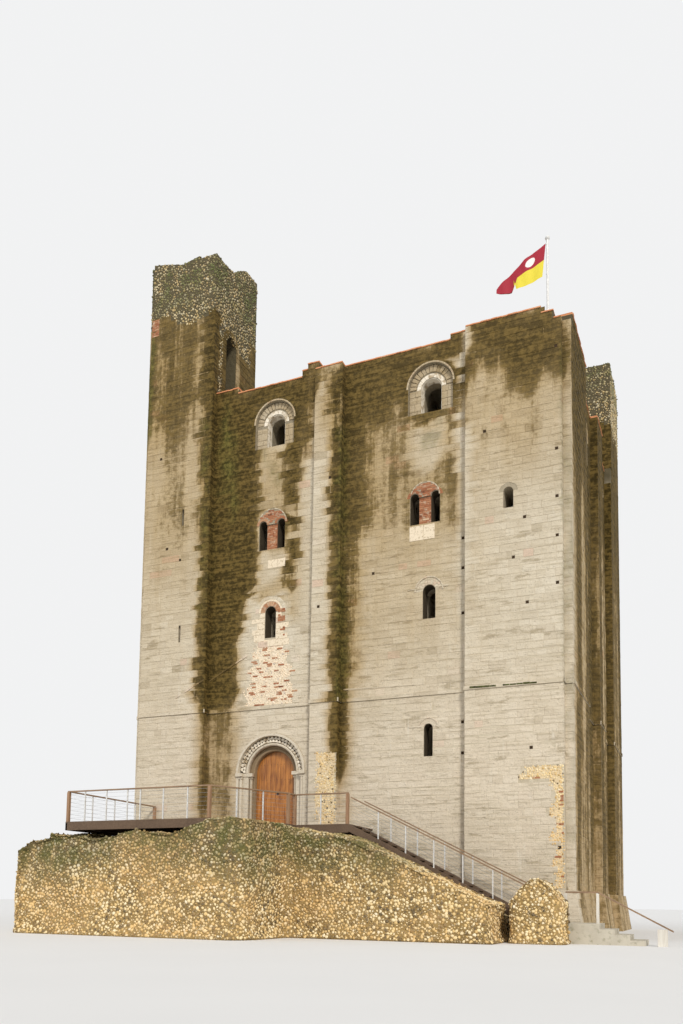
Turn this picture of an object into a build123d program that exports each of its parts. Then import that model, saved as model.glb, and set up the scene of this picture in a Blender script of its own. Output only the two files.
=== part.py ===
from build123d import *
import os
from math import atan2, cos, degrees, hypot, radians, sin

# A Norman castle keep: a square stone tower of four storeys with corner turrets, one timber
# entrance door up a timber stair and deck, and the rubble ruins of its forebuilding.
# Millimetres. X runs along the front to the right, Y into the building, Z up.
# The origin is the middle of the keep's plan at ground level.

# Plan of the keep
front_w = 17700            # turret face to turret face along the front
side_d = 16200             # front turret face to back turret face
turret_proj = 300          # how far turrets and pilasters stand before the bays
left_turret_w = 3400       # width of the two left turrets seen from the front
right_turret_w = 3650      # width of the two right turrets seen from the front
front_turret_d = 4100      # depth of the two front turrets seen from the side
back_turret_d = 3700       # depth of the two back turrets seen from the side
corner_notch = 280         # square re-entrant nook at each outer corner
front_pilaster_x = -215    # centre of the middle pilaster, front and back
front_pilaster_w = 1130
side_pilaster_y = 250      # centre of the middle pilaster, left and right
side_pilaster_w = 1700

# Levels
plinth_h = 1630            # top of the battered plinth
plinth_ledge = 70          # ledge on top of the plinth
plinth_batter = 230        # how far the plinth slopes out from its ledge to the ground
entrance_level = 3800      # top of the entrance floor
entrance_storey_h = 6500   # storeys from floor to floor
hall_storey_h = 3600
gallery_storey_h = 4200
top_storey_h = 3100        # to the roof and wall walk
floor_t = 300              # every floor and the roof
ground_floor_t = 300
string_up = 4760           # underside of the string course over the entrance floor
string_h = 140
string_out = 45

# Wall thickness from the bay face, thinner at each storey so that floors sit on a ledge
base_wall_t = 3350
entrance_wall_t = 3250
hall_wall_t = 3150
gallery_wall_t = 3050
top_wall_t = 2950
roof_wall_t = 2850

# Hollow of the corner turrets
turret_wall_t = 1250       # outer wall of each turret
turret_well = 1700         # square well inside it

# Windows: middle lines of the two bays on the front, and of the two bays on each side
left_bay_x = -2700
right_bay_x = 3780
gallery_x = (-2720, 3600)  # the front's paired lights stand a little off their bays' middles
near_bay_y = -2300
far_bay_y = 2900

slit_w = 330               # entrance storey
slit_sill_up = 2560        # every sill is measured up from its own floor
slit_h = 1180
hall_window_w = 480        # hall storey
hall_sill_up = 1085
hall_window_h = 1260
gallery_window_w = 1150    # paired lights of the gallery
gallery_sill_up = 1060
gallery_window_h = 1200
gallery_pier_w = 450
gallery_pier_d = 500
gallery_pier_back = 60     # how far the brick piers stand behind the bay face
top_window_w = 790         # top storey, under a shallow outer arch
top_sill_up = 1090
top_window_h = 1400
top_arch_w = 1720
top_arch_up = 35           # springing of the outer arch over that of the light
top_arch_d = 160
turret_light_w = 350       # single light of each right turret, in the gallery storey
turret_light_up = 990
turret_light_h = 760
turret_light_in = 2115     # from the corner to its middle
turret_slit_w = 150        # arrow slits of each left turret
turret_slit_h = 700
hall_slit_up = 1250
gallery_slit_up = 2550
turret_slit_in = 2130
window_stones = 10         # flat-faced stones in the arch of a window
light_stones = 6           # and over each of the paired lights
reveal_d = 900             # straight outer part of a window before it splays
splay = 420                # how far each jamb splays by the inner face
splay_rise = 250           # how far the splayed part rises over the light

# Entrance
door_x = -2570
door_jamb_h = 2300         # from the sill to the springing of the arch
door_r = 850               # half width and arch radius of the opening
outer_order_r = 1400       # outermost arch order
outer_order_d = 150
middle_order_r = 1040      # order that the nook shafts carry
middle_order_d = 350
frame_d = 500              # depth of the opening before the leaves
surround_half = 1500
door_lift_h = 4000         # from the sill to the bed joint over the arch
door_stones = 16           # flat-faced stones in each ring of the portal
shaft_r = 75
shaft_taper = 0.8          # shaft radius as a share of its base and capital
shaft_base_h = 150
shaft_cap_h = 220
roll_r = 55                # roll moulding on the edge of the inner orders
roll_sides = 8
hood_r = 1400              # label moulding round the outer order
hood_w = 90
hood_out = 60
impost_h = 130
impost_out = 70
impost_lip = 30            # how far each impost stands over its capitals
rear_half = 1065           # passage behind the leaves
rear_h = 3350
leaf_t = 90
leaf_lap = 60              # how far the leaves lap behind the opening's edge
leaf_gap = 6               # clearance round the leaves
threshold_gap = 10
pin_r = 15
pin_in = 950               # from the door's middle line to each hinge pin
pin_back = 20              # from the leaf's back face to the pin's centre
pin_run = 0.4              # running clearance between pin and eye
pin_over = 10              # how far the pin stands over its eye
eye_r = 27
eye_h = 90
eye_seat = 0.3
strap_h = 70
strap_t = 10
strap_in = 140             # from the door's middle line to the tip of each strap
strap_up = (550, 2050)     # heights of the two straps over the sill
pintle_arm_t = 40

# Parapets and tall turrets, all heights over the wall walk
parapet_t = 450
parapet_h = 570
pilaster_parapet_h = 570
turret_parapet_h = 730
corner_steps = ((950, 510), (520, 210))        # from the right front corner: width, height
pilaster_steps = ((725, 830), (480, 1050))      # left of the front pilaster: reach, height
turret_step = (1050, 790)  # beside the left front turret: reach, height
tall_turret = 3400         # outside size of the tall turrets
tall_wall_t = 850
left_tall_h = 7800
right_tall_h = 6250
left_tall_crest = {        # drop of the broken top along each wall, left to right or front to back
    "front": ((0, 530), (0.13, 680), (0.29, 790), (0.51, 1020), (0.78, 850), (1, 1000)),
    "right": ((0, 1000), (0.15, 920), (0.3, 970), (0.48, 830), (0.53, 520), (0.71, 80), (1, 20)),
    "back": ((0, 450), (0.3, 300), (0.5, 420), (0.75, 150), (1, 20)),
    "left": ((0, 530), (0.35, 660), (0.6, 500), (1, 450)),
}
right_tall_crest = {
    "front": ((0, 200), (0.2, 80), (0.45, 180), (0.7, 40), (1, 60)),
    "right": ((0, 60), (0.25, 160), (0.5, 60), (0.75, 220), (1, 120)),
    "back": ((0, 240), (0.4, 100), (0.7, 200), (1, 120)),
    "left": ((0, 200), (0.3, 120), (0.65, 260), (1, 240)),
}
tall_door_w = 800
tall_door_up = 1100
tall_door_jamb_h = 2400
tall_door_in = 1350        # from the turret's outer face to the door's middle

# Flagpole and flag
pole_x = 7790
pole_y = -6100
pole_r = 45
pole_h = 4850              # over the roof
ball_r = 90
ball_sides = 8
pole_foot_r = 160
pole_foot_h = 120
flag_t = 260               # the waves of the cloth, from crest to crest
flag_hoist_in = 190        # from the pole's top down to the hoist's
flag_hoist_h = 1290
flag_off = 20              # from the pole's surface to the hoist edge
flag_fly = 1850            # from the hoist to the fly's lower tip
flag_fly_drop = 1590       # how far that tip hangs below the hoist's top
flag_top_in = 1190         # the fly's upper corner, in from the hoist
flag_top_drop = 800
flag_low_in = 1170         # the lowest point of the foot, in from the hoist
flag_low_drop = 1640
toggle_r = 12
toggle_in = 60             # from each end of the hoist to its toggle

# Forebuilding ruin
ruin_front_y = -15100
ruin_wall_t = 1850
ruin_left_x = -8430
ruin_right_x = 550
ruin_corner_r = 700        # worn outer corners, in plan
ruin_crest = (             # broken top of the front wall: share of its length, height
    (0, 2650), (0.09, 3120), (0.17, 3310), (0.25, 3170), (0.42, 3250), (0.55, 3420),
    (0.69, 3290), (0.83, 3650), (0.95, 3780), (1, 3700))
ruin_lean = 260            # how far the wall's top stands behind its foot
return_w = 1750            # right return that met the pilaster
return_top = 3700          # its broken top, where it stands clear of the deck
bank_front_y = -12300
bank_foot_x = 7150
bank_gap = 20              # under the stair's stringers
bank_ridge_y = -11500      # where the bank's worn edge turns down to its face
bank_fall = 0.45           # slope from the ridge down to the face
bank_crest = (             # broken top of the bank: share of its length, height
    (0, 3700), (0.22, 3440), (0.32, 3260), (0.46, 2880), (0.58, 2510), (0.72, 2090),
    (0.86, 1620), (1, 1230))
stub_x = 7300
stub_w = 1750
stub_front_y = -11200
stub_top = 2030
stub_shoulder = 1250       # where the stump's sides start to round over
stub_corner_r = 350

# Deck, stair and railings
deck_left_x = -7650
deck_front_y = -13250
deck_bend_x = -1850
deck_inner_x = -300
deck_inner_y = -10560
stair_x = 1700             # head of the stair
stair_near_y = -10080
stair_w = 1300
plank_t = 60
beam_h = 240
beam_w = 120
joist_count = 8
tread_gap = 5
riser_count = 19
going = 335
tread_t = 45
stringer_w = 70
stringer_h = 260
landing_level = 620
landing_l = 2150
landing_lap = 400          # how far the landing runs under the stair's foot
low_riser_count = 4
low_going = 430
low_post_in = 1760         # from the first lower riser to the wide bottom post
low_post_w = 280
low_rail_end = 300         # how far the handrail runs past that post
low_rail_fall = 0.53       # its slope
rail_h = 1080
stair_rail_h = 960
stair_rail_in = 110        # first and last post from the stair's head and foot
stair_posts_closer = 1.2   # posts on the slope stand this much closer than on the deck
rail_lap = 40              # how far a handrail runs past its end posts
post = 50                  # thin metal posts
corner_post = 110          # timber posts at the ends and bends of the railings
rail_w = 70
rail_t = 50
post_in = 60               # post centre from the deck's edge
post_pitch = 1150
rail_wall_gap = 80         # from the turret's face to the railing's first post
rail_joint = 95            # where the slanting rail starts, from the corner post's middle
low_level_l = 940          # level stretch of the lower handrail

half_w = front_w / 2
half_d = side_d / 2
bay_x = half_w - turret_proj
bay_y = half_d - turret_proj
hall_level = entrance_level + entrance_storey_h
gallery_level = hall_level + hall_storey_h
top_level = gallery_level + gallery_storey_h
roof_level = top_level + top_storey_h
string_level = entrance_level + string_up
door_sill = entrance_level
door_spring = door_sill + door_jamb_h
slit_sill = entrance_level + slit_sill_up
hall_window_sill = hall_level + hall_sill_up
gallery_window_sill = gallery_level + gallery_sill_up
top_window_sill = top_level + top_sill_up
turret_light_sill = gallery_level + turret_light_up
far_out = 3000             # reach of cutters beyond the walls


def block(x0, x1, y0, y1, z0, z1):
    """A box between six planes."""
    size = Box(x1 - x0, y1 - y0, z1 - z0)
    return Pos((x0 + x1) / 2, (y0 + y1) / 2, (z0 + z1) / 2) * size


def prism(points, z0, z1):
    """An upright prism over a plan outline."""
    face = make_face(Polyline(*[(x, y, z0) for x, y in points], close=True))
    return extrude(face, amount=z1 - z0, dir=(0, 0, 1))


def wall_prism(points, y0, y1):
    """An outline drawn in front view, carried from y0 to y1."""
    face = make_face(Polyline(*[(x, y0, z) for x, z in points], close=True))
    return extrude(face, amount=y1 - y0, dir=(0, 1, 0))


def side_prism(points, x0, x1):
    """An outline drawn in side view, carried from x0 to x1."""
    face = make_face(Polyline(*[(x0, y, z) for y, z in points], close=True))
    return extrude(face, amount=x1 - x0, dir=(1, 0, 0))


def arch_line(radius, x, spring, stones):
    """Joints of an arch in front view, from its right springing to its left."""
    turns = [radians(180 * i / stones) for i in range(stones + 1)]
    return [(x + radius * cos(a), spring + radius * sin(a)) for a in turns]


def arched(width, sill, spring, y0, y1, x=0, stones=window_stones):
    """A round-headed opening, its half circle made up of flat-faced stones."""
    jambs = [(x - width / 2, sill), (x + width / 2, sill)]
    return wall_prism(jambs + arch_line(width / 2, x, spring, stones), y0, y1)


def write(name, shape):
    """Save one named piece."""
    export_step(shape, f"parts/{name}.step")


# The tower's outer mass, solid


def plan_rectangles():
    """Body, four turrets and four pilasters of the plan, as x0, x1, y0, y1."""
    body = (-bay_x, bay_x, -bay_y, bay_y)
    left = (-half_w, -half_w + left_turret_w)
    right = (half_w - right_turret_w, half_w)
    front = (-half_d, -half_d + front_turret_d)
    back = (half_d - back_turret_d, half_d)
    turrets = [across + along for across in (left, right) for along in (front, back)]
    pilaster_x = (front_pilaster_x - front_pilaster_w / 2, front_pilaster_x + front_pilaster_w / 2)
    pilaster_y = (side_pilaster_y - side_pilaster_w / 2, side_pilaster_y + side_pilaster_w / 2)
    return [body] + turrets + [pilaster_x + (-half_d, half_d), (-half_w, half_w) + pilaster_y]


def plinth_out():
    """How far the plinth's foot stands before the wall."""
    return plinth_ledge + plinth_batter


def battered(a, b):
    """Section of the plinth under a stretch of wall from a to b."""
    foot = plinth_out()
    return [(a - foot, 0), (b + foot, 0), (b + plinth_ledge, plinth_h), (a - plinth_ledge, plinth_h)]


def tower_mass():
    """The whole outline of the tower up to the wall walk, with plinth and corner nooks."""
    mass = None
    for x0, x1, y0, y1 in plan_rectangles():
        shaft = block(x0, x1, y0, y1, plinth_h, roof_level)
        foot = plinth_out()
        plinth = wall_prism(battered(x0, x1), y0 - foot, y1 + foot)
        plinth &= side_prism(battered(y0, y1), x0 - foot, x1 + foot)
        band = block(
            x0 - string_out, x1 + string_out, y0 - string_out, y1 + string_out,
            string_level, string_level + string_h)
        piece = shaft + plinth + band
        mass = piece if mass is None else mass + piece
    for sx in (-1, 1):
        for sy in (-1, 1):
            nook = Box(2 * corner_notch, 2 * corner_notch, roof_level - plinth_h)
            mass -= Pos(sx * half_w, sy * half_d, (roof_level + plinth_h) / 2) * nook
    return mass


def room(wall_t, z0, z1):
    return block(-bay_x + wall_t, bay_x - wall_t, -bay_y + wall_t, bay_y - wall_t, z0, z1)


def floor_bottom(level):
    return level - floor_t


rooms = {
    "base": (base_wall_t, 0, floor_bottom(entrance_level)),
    "entrance": (entrance_wall_t, floor_bottom(entrance_level), floor_bottom(hall_level)),
    "hall": (hall_wall_t, floor_bottom(hall_level), floor_bottom(gallery_level)),
    "gallery": (gallery_wall_t, floor_bottom(gallery_level), floor_bottom(top_level)),
    "top": (top_wall_t, floor_bottom(top_level), floor_bottom(roof_level)),
    "roof": (roof_wall_t, floor_bottom(roof_level), roof_level),
}


def hollow():
    """All the rooms, one over the other."""
    whole = None
    for wall_t, z0, z1 in rooms.values():
        space = room(wall_t, z0, z1)
        whole = space if whole is None else whole + space
    return whole


# Openings, drawn for a bay face at y = 0 with the room towards +Y


def embrasure(width, sill, top, depth):
    """Inner part of a window, splayed in plan."""
    a = width / 2
    b = a + splay
    plan = [(-a, reveal_d), (a, reveal_d), (b, depth), (-b, depth)]
    return prism(plan, sill, top + splay_rise)


def through_depth():
    return base_wall_t + far_out


def plain_window(width, sill, height):
    """A round-headed light with its splayed embrasure."""
    light = arched(width, sill, sill + height - width / 2, -far_out, reveal_d + 1)
    return light + embrasure(width, sill, sill + height, through_depth())


def pair_light_w():
    return (gallery_window_w - gallery_pier_w) / 2


def pair_spring():
    return gallery_window_sill + gallery_window_h - pair_light_w() / 2


def gallery_window():
    """Two lights under small arches, with the room for a brick pier between."""
    light_w = pair_light_w()
    spring = pair_spring()
    shift = (gallery_pier_w + light_w) / 2
    cut = block(
        -gallery_window_w / 2, gallery_window_w / 2, -far_out, reveal_d + 1,
        gallery_window_sill, spring)
    for side in (-1, 1):
        cut += wall_prism(
            arch_line(light_w / 2, side * shift, spring, light_stones), -far_out, reveal_d + 1)
    top = gallery_window_sill + gallery_window_h
    return cut + embrasure(gallery_window_w, gallery_window_sill, top, through_depth())


def top_window():
    spring = top_window_sill + top_window_h - top_window_w / 2
    light = plain_window(top_window_w, top_window_sill, top_window_h)
    recess = arched(top_arch_w, top_window_sill, spring + top_arch_up, -far_out, top_arch_d)
    return light + recess


def gallery_pier():
    half = gallery_pier_w / 2
    back = gallery_pier_back + gallery_pier_d
    return block(-half, half, gallery_pier_back, back, gallery_window_sill, pair_spring())


sides = {
    "front": (0, -bay_y, (left_bay_x, right_bay_x)),
    "right": (90, bay_x, (near_bay_y, far_bay_y)),
    "back": (180, bay_y, (-right_bay_x, -left_bay_x)),
    "left": (-90, -bay_x, (-far_bay_y, -near_bay_y)),
}


def at_side(side, along):
    """Place of an opening: the side's face, and how far along it, seen from outside."""
    angle, face, _ = sides[side]
    turn = radians(angle)
    if side in ("front", "back"):
        return Pos(along * cos(turn), face, 0) * Rot(0, 0, angle)
    return Pos(face, along * sin(turn), 0) * Rot(0, 0, angle)


def windows(side, shape, alongs=None):
    """One opening in each bay of a side, or at the places given."""
    return [at_side(side, along) * shape for along in alongs or sides[side][2]]


def pair_places(side):
    return gallery_x if side == "front" else sides[side][2]


def turret_wells():
    """The wells of the four turrets with their lights and slits."""
    cuts = {}
    for name, sx, sy in corners:
        cx = sx * (half_w - turret_wall_t - turret_well / 2)
        cy = sy * (half_d - turret_wall_t - turret_well / 2)
        well = block(
            cx - turret_well / 2, cx + turret_well / 2, cy - turret_well / 2, cy + turret_well / 2,
            entrance_level, floor_bottom(roof_level))
        outer = sy * (half_d + far_out)
        y0, y1 = min(outer, cy), max(outer, cy)
        if sx < 0:
            x = sx * (half_w - turret_slit_in)
            for sill in (hall_level + hall_slit_up, gallery_level + gallery_slit_up):
                half = turret_slit_w / 2
                well += block(x - half, x + half, y0, y1, sill, sill + turret_slit_h)
        else:
            x = sx * (half_w - turret_light_in)
            spring = turret_light_sill + turret_light_h - turret_light_w / 2
            well += arched(turret_light_w, turret_light_sill, spring, y0, y1, x)
        cuts[name] = well
    return cuts


corners = (
    ("front_left_turret", -1, -1),
    ("front_right_turret", 1, -1),
    ("back_left_turret", -1, 1),
    ("back_right_turret", 1, 1),
)


def corner_box(sx, sy):
    """The corner's share of the plan, up to the thickest wall's inner face."""
    x_in = sx * (bay_x - base_wall_t)
    y_in = sy * (bay_y - base_wall_t)
    x_out = sx * (half_w + far_out)
    y_out = sy * (half_d + far_out)
    return (
        min(x_in, x_out), max(x_in, x_out), min(y_in, y_out), max(y_in, y_out))


def side_box(side, z0, z1):
    """A side's share of the plan, between its two corners."""
    x_in = bay_x - base_wall_t
    y_in = bay_y - base_wall_t
    if side == "front":
        return block(-x_in, x_in, -half_d - far_out, 0, z0, z1)
    if side == "back":
        return block(-x_in, x_in, 0, half_d + far_out, z0, z1)
    if side == "right":
        return block(0, half_w + far_out, -y_in, y_in, z0, z1)
    return block(-half_w - far_out, 0, -y_in, y_in, z0, z1)


# Entrance


def door_place():
    return Pos(door_x, -bay_y, 0)


def entrance_cut():
    """Arch orders, opening and rear passage, for a face at y = 0."""
    low = door_sill
    cut = block(-rear_half, rear_half, frame_d, through_depth(), low, low + rear_h)
    for radius, depth in (
        (outer_order_r, outer_order_d), (middle_order_r, middle_order_d), (door_r, frame_d + 1),
    ):
        cut += arched(2 * radius, low, door_spring, -far_out, depth, stones=door_stones)
    return cut


def nook_shafts(side):
    """Round shafts with base and capital in the angles of the two outer orders of one jamb."""
    shafts = None
    for radius, depth in ((outer_order_r, outer_order_d), (middle_order_r, middle_order_d)):
        x = side * (radius - shaft_r)
        y = depth - shaft_r
        height = door_spring - door_sill
        sides_of = (x - shaft_r, x + shaft_r, y - shaft_r, y + shaft_r)
        shaft = Pos(x, y, door_sill + height / 2) * Cylinder(shaft_r * shaft_taper, height)
        foot = block(*sides_of, door_sill, door_sill + shaft_base_h)
        cap = block(*sides_of, door_spring - shaft_cap_h, door_spring)
        piece = shaft + foot + cap
        shafts = piece if shafts is None else shafts + piece
    return shafts


def half_ring(radius, y, section_r):
    """A roll moulding over the arch, one straight length on each stone, cut level at its feet."""
    joints = [(x, y, z) for x, z in arch_line(radius, 0, door_spring, door_stones)]
    feet = [(x, y, door_spring - section_r) for x in (radius, -radius)]
    section = Pos(*feet[0]) * Plane.XY * RegularPolygon(section_r, roll_sides)
    roll = sweep(
        section, path=Polyline(feet[0], *joints, feet[1]), transition=Transition.RIGHT)
    return roll & block(-far_out, far_out, -far_out, far_out, door_spring, roof_level)


def arch_mouldings():
    """Rolls on the edges of the orders, and the hood over them."""
    rolls = half_ring(door_r + roll_r, middle_order_d, roll_r)
    rolls += half_ring(middle_order_r + roll_r, outer_order_d, roll_r)
    outer = arch_line(hood_r + hood_w, 0, door_spring, door_stones)
    inner = arch_line(hood_r, 0, door_spring, door_stones)
    return rolls + wall_prism(outer + inner[::-1], -hood_out, hood_out)


def impost(side):
    """Flat slabs over both capitals, carried out over the wall beside the door."""
    inner = side * (middle_order_r - 2 * shaft_r - impost_lip)
    outer = side * (outer_order_r - 2 * shaft_r - impost_lip)
    end = side * surround_half
    low = door_spring - impost_h
    slab = block(min(outer, end), max(outer, end), -impost_out, outer_order_d, low, door_spring)
    front = outer_order_d - impost_lip
    return slab + block(
        min(inner, outer), max(inner, outer), front, middle_order_d, low, door_spring)


def leaf_y():
    """Front and back of the closed leaves, from the bay face."""
    front = frame_d + leaf_gap
    return front, front + leaf_t


def strap_heights():
    return [door_sill + up for up in strap_up]


def pin_y():
    return leaf_y()[1] + pin_back


def leaf(side):
    """One arched leaf of upright boards with two strap hinges on its inner face."""
    y0, y1 = leaf_y()
    outer_r = door_r + leaf_lap
    whole = arched(
        2 * outer_r, door_sill + threshold_gap, door_spring, y0, y1, stones=door_stones)
    keep = block(
        min(side * leaf_gap / 2, side * far_out), max(side * leaf_gap / 2, side * far_out),
        y0 - 1, y1 + 1, 0, roof_level)
    panel = whole & keep
    x_pin = side * pin_in
    for z in strap_heights():
        tip = side * strap_in
        strap = block(
            min(x_pin, tip), max(x_pin, tip), y1, y1 + strap_t, z - strap_h / 2, z + strap_h / 2)
        eye = Pos(x_pin, pin_y(), z) * Cylinder(eye_r, eye_h)
        bore = Pos(x_pin, pin_y(), z) * Cylinder(pin_r + pin_run, 2 * eye_h)
        panel = panel + strap + eye - bore
    return door_place() * panel


def pintles():
    """Four hinge pins on arms let into the jambs."""
    pieces = []
    for side in (-1, 1):
        for z in strap_heights():
            x = side * pin_in
            low = z - eye_h / 2 - eye_seat
            arm = block(
                min(x - side * pin_r, side * rear_half), max(x - side * pin_r, side * rear_half),
                pin_y() - pin_r, pin_y() + pin_r, low - pintle_arm_t, low)
            pin_h = eye_h + pin_over
            pin = Pos(x, pin_y(), low + pin_h / 2) * Cylinder(pin_r, pin_h)
            pieces.append(door_place() * (arm + pin))
    return Compound(pieces)


def make_walls():
    mass = tower_mass()
    space = hollow()
    solid = mass - space
    top_of = {name: z1 for name, (_, _, z1) in rooms.items()}

    def lift(side, z0, z1, cuts=()):
        piece = solid & side_box(side, z0, z1)
        for cut in cuts:
            piece -= cut
        return piece

    slits = plain_window(slit_w, slit_sill, slit_h)
    halls = plain_window(hall_window_w, hall_window_sill, hall_window_h)
    pairs = gallery_window()
    tops = top_window()
    base_top = top_of["base"]
    entrance_top = top_of["entrance"]
    hall_top = top_of["hall"]
    gallery_top = top_of["gallery"]

    write("front_wall_base", lift("front", 0, base_top))
    door = door_place() * entrance_cut()
    door_lift_top = door_sill + door_lift_h
    door_lift = lift("front", base_top, door_lift_top, windows("front", slits, (right_bay_x,)))
    left_edge = door_x - surround_half
    right_edge = door_x + surround_half
    whole = (-half_d - far_out, 0, base_top, door_lift_top)
    write("front_wall_door_left", door_lift & block(-half_w, left_edge, *whole))
    write("front_wall_door_right", door_lift & block(right_edge, half_w, *whole))
    surround = (door_lift & block(left_edge, right_edge, *whole)) - door
    for name, side, x0, x1 in (
        ("door_jamb_left", -1, left_edge, door_x),
        ("door_jamb_right", 1, door_x, right_edge),
    ):
        jamb = surround & block(x0, x1, -half_d - far_out, 0, base_top, door_spring)
        write(name, jamb + door_place() * (nook_shafts(side) + impost(side)))
    head = surround & block(left_edge, right_edge, -half_d - far_out, 0, door_spring, door_lift_top)
    write("door_head", head + door_place() * arch_mouldings())
    write("front_wall_over_door", lift("front", door_lift_top, entrance_top))
    write("front_wall_hall", lift("front", entrance_top, hall_top, windows("front", halls)))
    gallery_cuts = windows("front", pairs, gallery_x)
    write("front_wall_gallery", lift("front", hall_top, gallery_top, gallery_cuts))
    write("front_wall_top", lift("front", gallery_top, roof_level, windows("front", tops)))
    for side in ("right", "back", "left"):
        write(f"{side}_wall_lower", lift(side, 0, entrance_top, windows(side, slits)))
        middle_cuts = windows(side, halls) + windows(side, pairs)
        write(f"{side}_wall_middle", lift(side, entrance_top, gallery_top, middle_cuts))
        write(f"{side}_wall_top", lift(side, gallery_top, roof_level, windows(side, tops)))
    wells = turret_wells()
    for name, sx, sy in corners:
        x0, x1, y0, y1 = corner_box(sx, sy)
        write(name, (solid & block(x0, x1, y0, y1, 0, roof_level)) - wells[name])
    piers = []
    for side in sides:
        piers += windows(side, gallery_pier(), pair_places(side))
    write("gallery_window_piers", Compound(piers))


def make_floors():
    write("ground_floor", room(base_wall_t, 0, ground_floor_t))
    for name, level, wall_t in (
        ("entrance_floor", entrance_level, entrance_wall_t),
        ("hall_floor", hall_level, hall_wall_t),
        ("gallery_floor", gallery_level, gallery_wall_t),
        ("top_floor", top_level, top_wall_t),
        ("roof", roof_level, roof_wall_t),
    ):
        write(name, room(wall_t, level - floor_t, level))


# Parapets and tall turrets


def tall_turret_boxes():
    left = (-half_w, -half_w + tall_turret, -half_d, -half_d + tall_turret)
    right = (half_w - tall_turret, half_w, half_d - tall_turret, half_d)
    return left, right


def make_parapets():
    """Low walls round the wall walk, higher on the pilasters and the short turrets."""
    left_tall, right_tall = tall_turret_boxes()
    top = roof_level + far_out
    strips = None
    for index, (x0, x1, y0, y1) in enumerate(plan_rectangles()):
        height = parapet_h if index == 0 else turret_parapet_h
        if index > 4:
            height = pilaster_parapet_h
        strip = block(x0, x1, y0, y1, roof_level, roof_level + height)
        strips = strip if strips is None else strips + strip
    pilaster_left = front_pilaster_x - front_pilaster_w / 2
    inner_y = -bay_y + parapet_t
    for reach, height in pilaster_steps:
        strips += block(
            pilaster_left - reach, pilaster_left, -bay_y, inner_y, roof_level, roof_level + height)
    turret_right = left_turret_w - half_w
    reach, height = turret_step
    strips += block(
        turret_right, turret_right + reach, -bay_y, inner_y, roof_level, roof_level + height)
    for reach, height in corner_steps:
        strips -= block(
            half_w - reach, half_w + 1, -half_d - 1, inner_y, roof_level + height, top)
    strips -= block(
        -bay_x + parapet_t, bay_x - parapet_t, -bay_y + parapet_t, bay_y - parapet_t, roof_level, top)
    for x0, x1, y0, y1 in (left_tall, right_tall):
        strips -= block(x0 - 1, x1, y0 - 1, y1, roof_level, top)
    for sx in (-1, 1):
        for sy in (-1, 1):
            nook = Box(2 * corner_notch, 2 * corner_notch, far_out)
            strips -= Pos(sx * half_w, sy * half_d, roof_level + far_out / 2) * nook
    mitre_x = bay_x - parapet_t
    mitre_y = bay_y - parapet_t
    write("front_parapet", strips & block(-half_w, half_w, -half_d, -mitre_y, roof_level, top))
    write("back_parapet", strips & block(-half_w, half_w, mitre_y, half_d, roof_level, top))
    write("right_parapet", strips & block(mitre_x, half_w, -mitre_y, mitre_y, roof_level, top))
    write("left_parapet", strips & block(-half_w, -mitre_x, -mitre_y, mitre_y, roof_level, top))


def tall_shell(x0, x1, y0, y1, top, door_face):
    """A square turret shell, open at its ruined top, with a doorway on to the wall walk."""
    shell = block(x0, x1, y0, y1, roof_level, top)
    shell -= block(x0 + tall_wall_t, x1 - tall_wall_t, y0 + tall_wall_t, y1 - tall_wall_t, roof_level, top)
    sx = 1 if x0 > 0 else -1
    sy = 1 if y0 > 0 else -1
    nook = Box(2 * corner_notch, 2 * corner_notch, top)
    shell -= Pos(sx * half_w, sy * half_d, roof_level + top / 2) * nook
    sill = roof_level + tall_door_up
    door = arched(tall_door_w, sill, sill + tall_door_jamb_h, -tall_wall_t - 50, tall_wall_t + 50)
    y_mid = sy * (half_d - tall_door_in)
    shell -= Pos(door_face, y_mid, 0) * Rot(0, 0, 90) * door
    return shell


def ragged_top(shell, x0, x1, y0, y1, top, crest):
    """Break the top of a shell down to its four walls' crests."""
    reach = top + far_out
    slack = 1

    def cutter(a, b, line):
        points = [(a + share * (b - a), top - drop) for share, drop in line]
        first, last = points[0][1], points[-1][1]
        return [(a - slack, reach), (a - slack, first)] + points + [(b + slack, last), (b + slack, reach)]

    shell -= wall_prism(cutter(x0, x1, crest["front"]), y0 - slack, y0 + tall_wall_t)
    shell -= wall_prism(cutter(x0, x1, crest["back"]), y1 - tall_wall_t, y1 + slack)
    shell -= side_prism(cutter(y0, y1, crest["left"]), x0 - slack, x0 + tall_wall_t)
    return shell - side_prism(cutter(y0, y1, crest["right"]), x1 - tall_wall_t, x1 + slack)


def make_tall_turrets():
    left, right = tall_turret_boxes()
    top = roof_level + left_tall_h
    shell = tall_shell(*left, top, left[1])
    write("front_left_turret_top", ragged_top(shell, *left, top, left_tall_crest))
    top = roof_level + right_tall_h
    shell = tall_shell(*right, top, right[0])
    write("back_right_turret_top", ragged_top(shell, *right, top, right_tall_crest))


def turned_ball(radius, sides):
    """A ball turned in flats."""
    steps = [radians(180 * i / sides) for i in range(sides + 1)]
    outline = [(radius * sin(a), 0, radius * cos(a)) for a in steps]
    return revolve(make_face(Polyline(*outline, close=True)), Axis.Z)


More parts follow.
